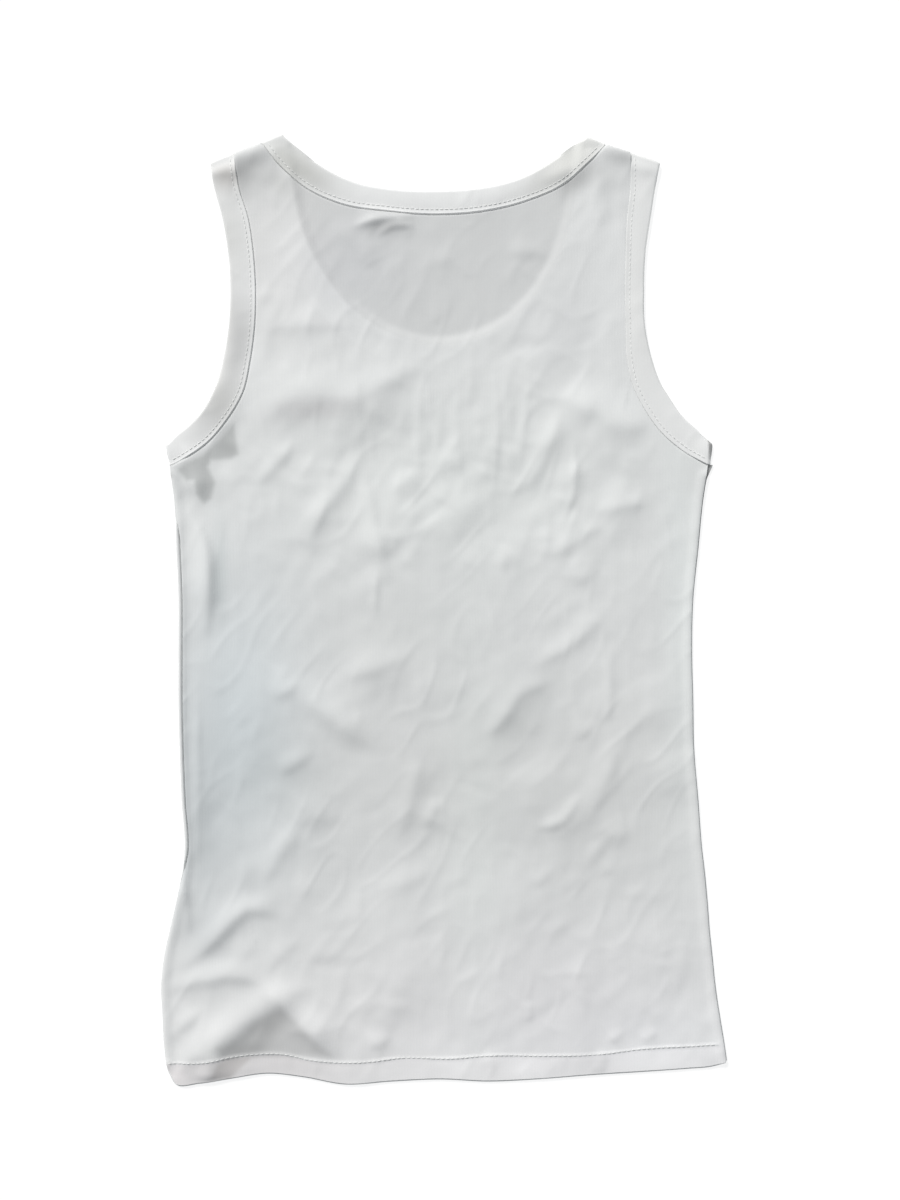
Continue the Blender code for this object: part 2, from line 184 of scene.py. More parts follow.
# The single row of hem stitches, wavy on the wearer's left.
HEM_STITCH = table(
    "x       y",
    (-200.0, -318.0),
    (-170.0, -317.1),
    (-146.0, -312.9),
    (-128.5, -311.5),
    (-112.5, -311.7),
    (-95.0, -315.5),
    (-81.5, -317.1),
    (-52.0, -317.0),
    (-32.0, -314.6),
    (4.0, -314.8),
    (35.5, -312.6),
    (69.0, -312.8),
    (107.5, -311.8),
    (142.0, -307.8),
    (174.0, -306.0),
    (203.0, -304.0),
)


def crease(lit, dark, high, *points):
    """A ridge (or a trough, if high is negative): its half widths on the side towards
    the light and on the other one, its height, and its crest."""
    return {"lit": lit, "dark": dark, "high": high, "crest": points}


CREASES = [
    # shoulders and under the neck binding
    crease(4.9, 9.0, 3.6, (-168, 305), (-143, 315), (-120, 323)),
    crease(4.9, 7.5, 2.8, (106, 322), (130, 316), (154, 309)),
    crease(5.6, 6.4, 2.2, (70, 300), (92, 308), (106, 320)),
    crease(3.4, 3.4, 2.6, (-62, 268), (-44, 273), (-26, 274)),
    crease(3.0, 2.6, 1.6, (-46, 262), (-35, 268), (-22, 268)),
    crease(7.0, 5.6, 1.2, (42, 248), (57, 251), (73, 248)),
    crease(8.4, 6.3, 1.0, (-77, 268), (-61, 255), (-47, 238)),
    # across the chest, wearer's left
    crease(16.0, 11.5, 3.6, (-134, 127), (-110, 146), (-80, 150), (-52, 142), (-28, 129)),
    crease(9.8, 6.3, 1.3, (-131, 196), (-98, 199), (-64, 198)),
    crease(8.4, 7.0, 1.8, (-60, 147), (-40, 159), (-17, 170)),
    crease(6.0, 5.0, 0.5, (-36, 75), (-25, 87), (-13, 96)),
    crease(6.3, 4.9, 1.6, (-129, 89), (-117, 102), (-106, 114)),
    crease(8.4, 6.8, 2.8, (-98, 43), (-88, 64), (-73, 85), (-59, 106)),
    crease(6.4, 5.6, 2.2, (-57, 98), (-51, 67), (-45, 38), (-36, 16)),
    crease(3.5, 2.8, 0.9, (-46, 27), (-48, 11), (-48, -5)),
    # across the chest, wearer's right
    crease(13.0, 9.0, 3.1, (78, 149), (105, 139), (124, 128), (141, 130)),
    crease(7.0, 6.0, 2.2, (80, 137), (72, 113), (58, 89), (47, 82)),
    crease(3.5, 2.8, 1.3, (91, 112), (90, 82), (84, 64)),
    crease(6.3, 5.6, -1.2, (31, 171), (50, 182), (73, 185)),
    crease(7.0, 5.6, 1.2, (71, 36), (89, 47), (108, 58)),
    crease(6.3, 4.9, 1.1, (108, 69), (124, 72), (139, 74)),
    # faint upright ones below the scoop
    crease(3.5, 2.8, 0.4, (-29, 150), (-27, 133), (-26, 117)),
    crease(3.9, 2.8, 0.65, (-14, 168), (-18, 132), (-17, 92)),
    crease(4.2, 3.0, 0.4, (-3, 147), (-3, 128), (-6, 106)),
    crease(3.5, 3.0, 0.55, (11, 158), (9, 131), (12, 88)),
    crease(3.5, 2.8, 0.4, (23, 142), (25, 126), (24, 112)),
    crease(3.8, 2.8, 0.75, (35, 168), (37, 128), (34, 82)),
    crease(3.5, 2.8, 0.45, (48, 151), (46, 135), (47, 120)),
    crease(3.9, 2.8, 0.6, (59, 162), (56, 131), (51, 92)),
    # waist, wearer's left
    crease(9.8, 7.0, 1.8, (-68, -47), (-47, -40), (-26, -32)),
    crease(6.3, 4.9, 1.3, (-119, -61), (-111, -57), (-103, -51)),
    crease(11.0, 9.0, 3.5, (-106, -49), (-88, -68), (-68, -82), (-44, -97)),
    crease(7.0, 5.6, 1.8, (-116, -114), (-104, -107), (-93, -99)),
    crease(9.1, 7.0, 1.6, (-102, -148), (-90, -143), (-76, -147)),
    crease(9.8, 7.7, 1.6, (-153, -149), (-144, -170), (-135, -195)),
    crease(8.0, 6.4, 1.8, (-125, -187), (-113, -167), (-101, -149)),
    crease(7.0, 6.0, 1.7, (-33, -160), (-25, -135), (-17, -106)),
    crease(5.0, 4.6, 1.1, (-14, -152), (-9, -143), (-5, -133)),
    crease(8.0, 6.4, 1.1, (-48, -198), (-28, -190), (-7, -181)),
    # waist, wearer's right
    crease(7.7, 5.6, 1.7, (66, -37), (88, -24), (108, -6)),
    crease(7.0, 5.6, 1.9, (27, -88), (37, -80), (52, -60), (76, -49)),
    crease(5.6, 4.2, 1.1, (91, -90), (97, -86), (104, -79)),
    crease(4.2, 3.5, 0.9, (116, -33), (115, -56), (114, -79)),
    crease(8.4, 6.6, 1.6, (68, -160), (84, -154), (100, -138), (111, -120), (118, -100), (135, -79)),
    crease(5.0, 4.2, 1.8, (66, -152), (80, -148), (92, -132)),
    crease(5.6, 5.6, 1.1, (100, -178), (110, -163), (123, -147)),
    crease(4.9, 4.2, 0.6, (107, -186), (115, -180), (120, -170)),
    crease(5.6, 4.2, 0.6, (60, -192), (67, -188), (74, -181)),
    crease(9.8, 7.7, 1.3, (149, -98), (156, -115), (166, -134)),
    # above the hem, wearer's left
    crease(8.8, 6.6, 4.0, (-181, -247), (-163, -232), (-151, -219), (-138, -209), (-119, -211)),
    crease(8.8, 6.6, 3.0, (-192, -264), (-169, -258), (-150, -254), (-130, -258), (-117, -266)),
    crease(5.6, 4.9, 1.5, (-190, -298), (-180, -288), (-169, -279)),
    crease(12.0, 10.0, 5.4, (-192, -322), (-160, -302), (-132, -281), (-100, -262)),
    crease(9.0, 8.0, 4.2, (-130, -265), (-115, -271), (-101, -284), (-89, -297), (-76, -311)),
    crease(6.3, 6.3, 1.8, (-161, -312), (-164, -322), (-167, -333)),
    crease(5.6, 4.9, 1.1, (-53, -306), (-47, -303), (-38, -298)),
    # above the hem, wearer's right
    crease(3.5, 2.8, 0.6, (59, -273), (59, -280), (59, -287)),
    crease(4.2, 3.5, 0.8, (115, -302), (120, -298), (124, -295)),
    crease(4.2, 3.5, 0.8, (138, -301), (143, -298), (148, -295)),
    crease(4.2, 3.5, 0.7, (31, -308), (32, -316), (33, -327)),
    crease(4.2, 3.5, 0.7, (109, -308), (110, -316), (109, -325)),
    # wearer's left side and armpit
    crease(17.0, 9.0, 2.5, (-202, 95), (-182, 107), (-166, 119), (-152, 136), (-144, 158)),
    crease(6.0, 6.5, 2.6, (-180, 112), (-175, 98), (-170, 76)),
    crease(7.4, 5.2, 4.4, (-180, 70), (-168, 46), (-165, 14), (-167, -20)),
    crease(4.2, 3.5, 1.3, (-172, -46), (-172, -114), (-172, -183)),
    crease(4.2, 3.5, 2.0, (-182, -186), (-181, -203), (-178, -224)),
    crease(4.9, 6.3, 1.7, (-147, 205), (-149, 181), (-158, 153), (-174, 133)),
    # the broad fall of light down the middle
    dict(crease(38.0, 42.0, 2.0, (42, -10), (39, -130), (36, -290)), swell=1.5),
]

# Creases pressed into the front, which faces down, as shallow troughs.
FRONT_CREASES = [
    crease(6.0, 5.0, 0.55, (-120, 120), (-84, 138), (-40, 130)),
    crease(7.0, 6.0, 0.6, (70, 128), (102, 112), (136, 114)),
    crease(5.0, 4.5, 0.5, (-96, 60), (-70, 22), (-52, -26)),
    crease(5.0, 4.5, 0.45, (84, 74), (66, 36), (58, -2)),
    crease(6.0, 5.0, 0.6, (-126, -66), (-88, -96), (-44, -104)),
    crease(6.0, 5.0, 0.55, (44, -118), (82, -96), (118, -52)),
    crease(7.0, 6.0, 0.6, (-158, -214), (-124, -196), (-86, -204)),
    crease(6.0, 5.0, 0.5, (96, -210), (128, -232), (150, -262)),
    crease(5.0, 4.0, 0.45, (-20, -150), (-6, -190), (4, -238)),
    crease(7.0, 6.0, 0.6, (-150, -300), (-112, -272), (-70, -300)),
    crease(5.0, 4.0, 0.4, (8, 96), (14, 60), (10, 20)),
    crease(5.0, 4.0, 0.4, (-148, 30), (-152, -20), (-146, -80)),
    crease(4.5, 3.8, 0.4, (-60, 92), (-44, 60), (-38, 24)),
    crease(4.5, 3.8, 0.45, (102, 96), (92, 64), (94, 30)),
    crease(5.5, 4.5, 0.5, (24, -22), (52, -8), (86, -16)),
    crease(5.0, 4.0, 0.45, (-98, -140), (-70, -152), (-46, -176)),
    crease(5.5, 4.5, 0.5, (60, -176), (92, -160), (118, -128)),
    crease(5.0, 4.2, 0.45, (-36, -262), (0, -276), (40, -270)),
    crease(4.5, 3.6, 0.4, (150, -60), (156, -120), (152, -170)),
    crease(4.5, 3.6, 0.35, (-20, 196), (18, 188), (52, 200)),
]


# ---------------------------------------------------------------- curves


def smooth(points, step):
    """Points about `step` apart on a smooth curve through the given ones; rows of four
    numbers are two curves side by side."""
    p = np.asarray(points, float)
    line = p if p.shape[1] == 2 else (p[:, :2] + p[:, 2:]) / 2
    at = np.r_[0, np.cumsum(np.hypot(*np.diff(line, axis=0).T))]
    slope = np.gradient(p, at, axis=0)
    s = np.linspace(0, at[-1], max(2, round(at[-1] / step) + 1))
    i = np.clip(np.searchsorted(at, s, side="right") - 1, 0, len(at) - 2)
    h = (at[i + 1] - at[i])[:, None]
    t = (s[:, None] - at[i][:, None]) / h
    return (
        (1 + 2 * t) * (1 - t) ** 2 * p[i]
        + t * (1 - t) ** 2 * h * slope[i]
        + t**2 * (3 - 2 * t) * p[i + 1]
        + t**2 * (t - 1) * h * slope[i + 1]
    )


def ease(value):
    t = np.clip(value, 0, 1)
    return t * t * (3 - 2 * t)


def unit(v):
    return v / max(np.hypot(*v), 1e-9)


def dense(line, step=0.35):
    out = []
    for a, b in zip(line[:-1], line[1:]):
        n = max(1, int(np.hypot(*(b - a)) / step))
        out.append(a + (b - a) * (np.arange(n) / n)[:, None])
    return np.vstack(out + [line[-1:]])


class Line:
    """A polyline that many points' distances are measured from."""

    def __init__(self, line):
        self.line = np.asarray(line, float)
        samples = dense(self.line)
        self.tree = KDTree(len(samples))
        for k, (x, y) in enumerate(samples):
            self.tree.insert((x, y, 0), k)
        self.tree.balance()

    def distance(self, points):
        find = self.tree.find
        return np.array([find((x, y, 0))[2] for x, y in points])


def inside(points, polygon):
    points, polygon = np.asarray(points, float), np.asarray(polygon, float)
    result = np.zeros(len(points), bool)
    for a, b in zip(polygon, np.roll(polygon, -1, axis=0)):
        if a[1] == b[1]:
            continue
        crosses = (a[1] > points[:, 1]) != (b[1] > points[:, 1])
        x = a[0] + (points[:, 1] - a[1]) * (b[0] - a[0]) / (b[1] - a[1])
        result ^= crosses & (points[:, 0] < x)
    return result


def drop(away, radius):
    """How far a rounded edge has fallen at this distance in from it."""
    s = np.clip(away, 0, radius)
    return radius - np.sqrt(np.maximum(radius**2 - (radius - s) ** 2, 0))


def waves(points, seed, count, short, long, size, toward=None, spread=math.pi):
    """Gentle unevenness: a sum of plane waves of a range of lengths."""
    rng = np.random.default_rng(seed)
    points = np.asarray(points, float)
    total = np.zeros(len(points))
    for _ in range(count):
        length = rng.uniform(short, long)
        heading = (rng.uniform(0, math.pi) if toward is None else toward) + (
            0 if toward is None else rng.uniform(-spread, spread)
        )
        phase = rng.uniform(0, 2 * math.pi)
        d = points @ np.array([math.cos(heading), math.sin(heading)])
        total += np.sin(2 * math.pi * d / length + phase) * length / long
    return total * size / math.sqrt(count)


def crumple(points, seed, heading, along, across, size):
    """Faint folds that run into one another, in patches: crests where slow waves cancel,
    drawn out along one heading."""
    points = np.asarray(points, float)
    c, n = math.cos(math.radians(heading)), math.sin(math.radians(heading))
    drawn = np.column_stack(
        [
            (points[:, 0] * c + points[:, 1] * n) / along,
            (points[:, 1] * c - points[:, 0] * n) / across,
        ]
    )
    level = waves(drawn, seed, 14, 0.8, 1.6, 2.0)
    patch = ease(0.5 + 0.9 * waves(points, seed + 1, 8, 60, 140, 1.0))
    return size * (0.25 + 0.75 * patch) * np.exp(-((level / 0.75) ** 2))


def ridges(points, creases):
    """Height of the creases at each point: each fades out at both ends, is steeper on
    its dark side, wavers a little, and stands on a low swell of its own."""
    points = np.asarray(points, float)
    total = np.zeros(len(points))
    for number, item in enumerate(creases):
        rng = np.random.default_rng(number + 40)
        crest = smooth(np.array(item["crest"], float), 3.0)
        run = np.hypot(*np.diff(crest, axis=0).T).sum()
        more = np.clip(run * 0.16, 2.0, 9.0)
        first, last = unit(crest[0] - crest[1]), unit(crest[-1] - crest[-2])
        crest = np.vstack([crest[0] + first * more, crest, crest[-1] + last * more])
        swell = item.get("swell", 2.5)
        reach = 2.2 * swell * max(item["lit"], item["dark"])
        low, high = crest.min(axis=0) - reach, crest.max(axis=0) + reach
        near = np.flatnonzero(
            (points[:, 0] > low[0])
            & (points[:, 0] < high[0])
            & (points[:, 1] > low[1])
            & (points[:, 1] < high[1])
        )
        if not len(near):
            continue
        p = points[near]
        steps = np.hypot(*np.diff(crest, axis=0).T)
        at = np.r_[0, np.cumsum(steps)] / steps.sum()
        best = np.full(len(p), np.inf)
        side = np.zeros(len(p))
        along = np.zeros(len(p))
        for k in range(len(crest) - 1):
            a, d = crest[k], crest[k + 1] - crest[k]
            rel = p - a
            t = np.clip(rel @ d / max(d @ d, 1e-9), 0, 1)
            gap = rel - t[:, None] * d
            away = np.hypot(gap[:, 0], gap[:, 1])
            normal = unit(np.array([-d[1], d[0]]))
            if normal @ LIGHT_SIDE < 0:
                normal = -normal
            closer = away < best
            best = np.where(closer, away, best)
            side = np.where(closer, rel @ normal, side)
            along = np.where(closer, at[k] + t * (at[k + 1] - at[k]), along)
        fade = ease(np.minimum(along, 1 - along) / 0.42)
        phase = rng.uniform(0, 2 * math.pi)
        fade = fade * (1 + 0.16 * np.sin(2 * math.pi * 1.7 * along + phase))
        blend = ease(np.clip(side / np.maximum(best, 1e-6), -1, 1) * 0.5 + 0.5)
        width = item["dark"] + (item["lit"] - item["dark"]) * blend
        width = width * (0.6 + 0.4 * np.clip(fade, 0, 1))
        shape = 0.78 * np.exp(-((best / width) ** 2))
        shape += 0.42 * np.exp(-((best / (width * swell)) ** 2))
        total[near] += item["high"] * fade * shape
    return total


def minor(seed, count, centre, reach, heading, spread, long, wide, high):
    """Lesser creases scattered over an oval patch, mostly along one heading."""
    rng = np.random.default_rng(seed)
    found = []
    while len(found) < count:
        at = rng.uniform(-1, 1, 2)
        if at @ at > 1:
            continue
        middle = np.array(centre) + at * np.array(reach)
        angle = math.radians(heading + rng.normal(0, spread))
        ahead = np.array([math.cos(angle), math.sin(angle)])
        aside = np.array([-ahead[1], ahead[0]])
        half = rng.uniform(*long) / 2
        bow = rng.normal(0, 0.12) * half
        width = rng.uniform(*wide)
        height = rng.uniform(*high) * (1 - 0.35 * (at @ at)) * rng.choice([1, 1, -0.8])
        ends = [middle - ahead * half, middle + aside * bow, middle + ahead * half]
        found.append(crease(width * 1.25, width, height, *[tuple(e) for e in ends]))
        found[-1]["swell"] = 2.0
    return found


# ---------------------------------------------------------------- lines of the garment

CREASES += (
    minor(1, 50, (-62, 84), (80, 74), 58, 20, (14, 40), (3.8, 7.0), (0.2, 0.7))
    + minor(2, 44, (66, 84), (72, 78), 56, 20, (14, 38), (3.8, 6.8), (0.2, 0.7))
    + minor(3, 16, (0, 134), (62, 40), 88, 7, (20, 46), (2.2, 3.4), (0.2, 0.5))
    + minor(4, 18, (-6, 232), (74, 40), 62, 30, (16, 44), (2.6, 5.0), (0.2, 0.55))
    + minor(5, 9, (-127, 232), (14, 74), 84, 10, (22, 50), (2.8, 4.4), (0.2, 0.6))
    + minor(6, 9, (113, 236), (14, 72), 96, 10, (22, 50), (2.8, 4.4), (0.2, 0.6))
    + minor(7, 34, (-84, -92), (88, 84), 38, 26, (14, 40), (3.4, 6.6), (0.12, 0.38))
    + minor(8, 38, (84, -78), (86, 88), 44, 18, (14, 40), (3.2, 6.2), (0.15, 0.42))
    + minor(9, 26, (-92, -250), (88, 56), 34, 26, (18, 50), (3.0, 6.0), (0.2, 0.6))
    + minor(10, 24, (88, -236), (96, 66), 48, 30, (16, 44), (2.8, 5.4), (0.15, 0.42))
    # broad soft forms
    + minor(11, 16, (-20, 90), (150, 90), 40, 40, (60, 120), (11, 19), (0.7, 1.6))
    + minor(12, 16, (0, -90), (160, 100), 48, 40, (60, 120), (11, 20), (0.7, 1.7))
    + minor(13, 10, (0, -240), (170, 70), 30, 40, (50, 110), (10, 18), (0.6, 1.3))
)

TURN_REACH = 2.05  # how far a binding's fold stands out past its last station


def outward(station, beside):
    seam, rim = station[:2], station[2:]
    across = unit(rim - seam)
    way = np.array([-across[1], across[0]])
    ahead = (station - beside)[:2] + (station - beside)[2:]
    return way if way @ ahead > 0 else -way


def stations(rows, step):
    line = smooth(columns(rows, "seam_x seam_y rim_x rim_y"), step)
    coarse = smooth(columns(rows, "seam_x seam_y rim_x rim_y"), 13.0)
    for end, beside in ((0, 1), (-1, -2)):
        back_in = outward(line[end], coarse[beside]) * TURN_REACH
        # the last stretch is drawn in evenly, so that it stays smooth
        run = np.hypot(*((line - line[end])[:, :2]).T)
        share = ease(1 - run / 30.0)
        line -= share[:, None] * np.r_[back_in, back_in]
    return line


def shown_under(line, far):
    """The front's part of a binding, standing out past the back's at its last end."""
    run = np.r_[0, np.cumsum(np.hypot(*np.diff(line[:, :2], axis=0).T))]
    share = ease(1 - (run[-1] - run) / 22.0)[:, None]
    shift = outward(line[-1], line[-8]) * far
    return line + share * np.r_[shift, shift]


NB = stations(NECK_BACK, BAND_STEP)
NF = stations(NECK_FRONT, BAND_STEP)
AL = stations(ARM_LEFT, BAND_STEP)
AR = stations(ARM_RIGHT, BAND_STEP)
AR_FRONT = shown_under(AR, 1.9)
HEM_LINE = smooth(columns(HEM, "x y"), EDGE_STEP)
LEFT_LINE = smooth(columns(SIDES, "left_x y"), EDGE_STEP)
RIGHT_LINE = smooth(columns(SIDES, "right_x y"), EDGE_STEP)
STITCH_LINE = smooth(columns(HEM_STITCH, "x y"), 2.0) + np.array([0, 1.0])

near_scoop_rim = Line(NF[:, 2:])
near_scoop_seam = Line(NF[:, :2])
near_neck = Line(NB[:, :2])
near_arms = [Line(AL[:, :2]), Line(AR[:, :2])]
near_left, near_right = Line(LEFT_LINE), Line(RIGHT_LINE)
near_hem = Line(HEM_LINE)
near_stitch = Line(STITCH_LINE)

LIP_WIDE = 2.9
LIP_LOW_Y, LIP_HIGH_Y, LIP_FADE = -195.0, 75.0, 30.0


def lip(y):
    return ease((y - LIP_LOW_Y) / LIP_FADE) * ease((LIP_HIGH_Y - y) / LIP_FADE)


# ---------------------------------------------------------------- how the back lies


def signed_stitch(points, away):
    """Distance from the hem's stitches, positive above them."""
    y = np.interp(points[:, 0], STITCH_LINE[:, 0], STITCH_LINE[:, 1])
    return np.where(points[:, 1] > y, away, -away)


def resting_height(points):
    in_scoop = inside(points, NF[::3, 2:])
    from_rim = near_scoop_rim.distance(points)
    on_band = inside(points, NF[::3, :2])
    from_seam = near_scoop_seam.distance(points)
    height = OVER_PANEL + (BAND_SHOWS - OVER_PANEL) * np.where(
        on_band, 1, ease(1 - from_seam / 11)
    )
    sunk = SCOOP_FLOOR + (BAND_SHOWS - SCOOP_FLOOR) * ease(1 - from_rim / 8)
    return np.where(in_scoop, sunk, height), in_scoop, from_rim, on_band


def lie(points, with_details=True):
    """Height of the back's upper face, before its edges are rounded."""
    points = np.asarray(points, float)
    height, in_scoop, from_rim, on_band = resting_height(points)
    side = np.minimum(near_left.distance(points), near_right.distance(points))
    hem = near_hem.distance(points)
    seams = np.minimum(near_neck.distance(points), near_arms[0].distance(points))
    seams = np.minimum(seams, near_arms[1].distance(points))
    edge = np.minimum(np.minimum(side, hem), seams)
    loose = ease(edge / 60) * np.where(in_scoop, ease(1 - from_rim / 10), 1)
    loose = loose * (1 - 0.4 * np.where(on_band, 1, ease(1 - near_scoop_seam.distance(points) / 14)))
    height = height + WALL + 1.5 * loose
    # seam allowances inside the side seams lift the cloth beside them
    height += 1.25 * np.exp(-((side / 5.5) ** 2)) + 0.5 * np.exp(-(((side - 4) / 2.2) ** 2))
    calm = ease(hem / 10)
    height += ridges(points, CREASES) * (0.35 + 0.65 * ease(hem / 6))
    height += waves(points, 3, 16, 34, 95, 0.55) * (0.35 + 0.65 * calm)
    height += waves(points, 8, 16, 13, 28, 0.11, toward=-0.62, spread=0.7)
    height += crumple(points, 51, 57, 46, 25, 0.3) * (0.4 + 0.6 * calm)
    height += crumple(points, 71, 98, 44, 24, 0.2) * (0.4 + 0.6 * calm)
    height += waves(points, 5, 18, 7, 14, 0.035)
    if with_details:
        away = near_stitch.distance(points)
        above = signed_stitch(points, away)
        height += 0.14 * ease(0.5 - above / 2.4)
        uneven = 1 + waves(points, 17, 8, 9, 40, 0.45)
        height += 0.3 * uneven * np.exp(-(((above - 0.2) / 1.0) ** 2))
        height -= 0.1 * uneven * np.exp(-(((above + 1.6) / 1.0) ** 2))
    floor = resting_height_cached(points, height) + WALL * 0.9
    return np.where(height < floor + 0.4, floor + 0.4 * np.exp((height - floor - 0.4) / 0.4), height), seams, side, hem


def resting_height_cached(points, _):
    return resting_height(points)[0]


def back_faces(points):
    """Upper and lower face heights of the back panel."""
    top, seams, side, hem = lie(points)
    top = top - drop(side, 2.3) - drop(hem, 0.9)
    # the right armhole's seam hardly shows towards the shoulder
    quiet = ease((points[:, 0] - 112) / 8) * ease((points[:, 1] - 110) / 60)
    top -= (0.4 - 0.32 * quiet) * ease(1 - seams / 1.4)
    shoulder = SHOULDERS.distance(points)
    top -= drop(shoulder, 1.7)
    rest = resting_height(points)[0]
    under = rest + 0.55 * np.maximum(top - WALL - rest - 0.8, 0)
    under = np.minimum(under, top - 0.15)
    return top, under


def front_faces(points):
    """Lower (outer) and upper face heights of the front panel."""
    side = np.minimum(near_left.distance(points), near_right.distance(points))
    hem = near_hem.distance(points)
    seams = near_scoop_seam.distance(points)
    for line in near_arms:
        seams = np.minimum(seams, line.distance(points))
    shoulder = SHOULDERS.distance(points)
    under = 0.08 + ridges(points, FRONT_CREASES)
    under += np.abs(waves(points, 21, 14, 30, 80, 0.12))
    away = near_stitch.distance(points)
    above = signed_stitch(points, away)
    under += 0.3 * np.exp(-((above / 0.75) ** 2)) + 0.12 * ease(0.5 + above / 1.6)
    under += drop(side, 0.95) + drop(hem, 0.8) + drop(shoulder, 0.95)
    under += 0.5 * ease(1 - seams / 1.6)
    top = np.full(len(points), FRONT_TOP)
    top = np.maximum(top, under + 0.15)
    rolled = lip(points[:, 1])
    left = near_left.distance(points)
    half = LIP_WIDE / 2 * np.maximum(rolled, 1e-3)
    bead = np.sqrt(np.clip(1 - ((left - half) / half) ** 2, 0, 1))
    top = top + (3.75 - FRONT_TOP) * bead * ease(rolled * 1.6 - 0.3) * (rolled > 0.15)
    return top, under


# ---------------------------------------------------------------- outlines


def inset(polygon, amounts):
    """The polygon, clockwise, with each edge moved in by its own amount."""
    polygon = np.asarray(polygon, float)
    edges = np.roll(polygon, -1, axis=0) - polygon
    normals = np.array([unit(np.array([e[1], -e[0]])) for e in edges])
    moved = []
    for k, point in enumerate(polygon):
        n1, n2 = normals[k - 1], normals[k]
        a1, a2 = amounts[k - 1], amounts[k]
        if abs(n1[0] * n2[1] - n1[1] * n2[0]) < 0.25:
            shift = (n1 * a1 + n2 * a2) / 2
        else:
            shift = np.linalg.solve(np.array([n1, n2]), np.array([a1, a2]))
        moved.append(point + shift)
    return np.array(moved)


def line_between(a, b, step):
    n = max(2, round(np.hypot(*(b - a)) / step) + 1)
    return a + (b - a) * np.linspace(0, 1, n)[:, None]


def panel_outline(neck_seam, AR, amount_of):
    """Clockwise outline, each stretch moved in by its amount."""
    left_shoulder = line_between(AL[0, :2], neck_seam[0], EDGE_STEP)
    right_shoulder = line_between(neck_seam[-1], AR[0, :2], EDGE_STEP)
    corner_left = line_between(HEM_LINE[0], LEFT_LINE[0], EDGE_STEP)
    corner_right = line_between(RIGHT_LINE[0], HEM_LINE[-1], EDGE_STEP)
    left_corner = AL[-1, :2] + outward(AL[-1], AL[-8]) * 1.9
    right_corner = AR[-1, :2] + outward(AR[-1], AR[-8]) * 1.9
    top_left = line_between(LEFT_LINE[-1], left_corner, EDGE_STEP)
    top_right = line_between(right_corner, RIGHT_LINE[-1], EDGE_STEP)
    parts = [
        ("left", corner_left),
        ("left", LEFT_LINE),
        ("left", top_left),
        ("seam", np.array([left_corner, AL[-1, :2]])),
        ("seam", AL[::-1, :2]),
        ("shoulder", left_shoulder),
        ("seam", neck_seam),
        ("shoulder", right_shoulder),
        ("seam", AR[:, :2]),
        ("seam", np.array([AR[-1, :2], right_corner])),
        ("right", top_right),
        ("right", RIGHT_LINE[::-1]),
        ("right", corner_right),
        ("hem", HEM_LINE[::-1]),
    ]
    polygon, kinds = [], []
    for kind, line in parts:
        for point in line[:-1]:
            polygon.append(point)
            kinds.append(kind)
    ahead = polygon[1:] + polygon[:1]
    amounts = [amount_of[k]((a + b) / 2) for k, a, b in zip(kinds, polygon, ahead)]
    return inset(polygon, amounts)


SHOULDERS = Line(
    np.vstack(
        [
            line_between(AL[0, :2], NB[0, :2], 2.0),
        ]
    )
)


class Both:
    def __init__(self, *lines):
        self.lines = lines

    def distance(self, points):
        return np.min([line.distance(points) for line in self.lines], axis=0)


def shoulder_line(a, b):
    away = unit(b - a)
    normal = np.array([-away[1], away[0]])
    if normal[1] < 0:
        normal = -normal
    return Line(line_between(a + normal * 1.7, b + normal * 1.7, 2.0))


SHOULDERS = Both(
    shoulder_line(AL[0, :2], NB[0, :2]), shoulder_line(NB[-1, :2], AR[0, :2])
)

SEAM_GAP = 0.04
BACK_OUTLINE = panel_outline(
    NB[:, :2],
    AR,
    {
        "left": lambda p: 0.35 + (LIP_WIDE + 0.1) * lip(p[1]),
        "right": lambda p: 0.8,
        "hem": lambda p: 1.2,
        "seam": lambda p: SEAM_GAP,
        "shoulder": lambda p: -1.7,
    },
)
FRONT_OUTLINE = panel_outline(
    NF[:, :2],
    AR_FRONT,
    {
        "left": lambda p: 0.0,
        "right": lambda p: -1.9 * ease((p[1] - 84) / 32),
        "hem": lambda p: 0.0,
        "seam": lambda p: SEAM_GAP,
        "shoulder": lambda p: -1.7,
    },
)


# ---------------------------------------------------------------- meshes


def hex_grid(outline, spacing):
    low, high = outline.min(axis=0), outline.max(axis=0)
    rows = []
    for k, y in enumerate(np.arange(low[1], high[1], spacing * 0.866)):
        x = np.arange(low[0] + (spacing / 2 if k % 2 else 0), high[0], spacing)
        rows.append(np.column_stack([x, np.full(len(x), y)]))
    return np.vstack(rows)


def parallel_rows(outline, insets):
    """Points beside the outline, in rows at these distances in from it."""
    edges = np.roll(outline, -1, axis=0) - np.roll(outline, 1, axis=0)
    normal = np.column_stack([edges[:, 1], -edges[:, 0]])
    normal /= np.maximum(np.hypot(*normal.T), 1e-9)[:, None]
    return [outline + normal * s for s in insets]


def triangulate(outline, inner):
    edge = len(outline)
    flat = [Vector(p) for p in np.vstack([outline, inner])]
    ring = [(k, (k + 1) % edge) for k in range(edge)]
    found = delaunay_2d_cdt(flat, ring, [], 1, 1e-5)
    points = np.array([(v.x, v.y) for v in found[0]])
    return points, [tuple(f) for f in found[2]], found[3]


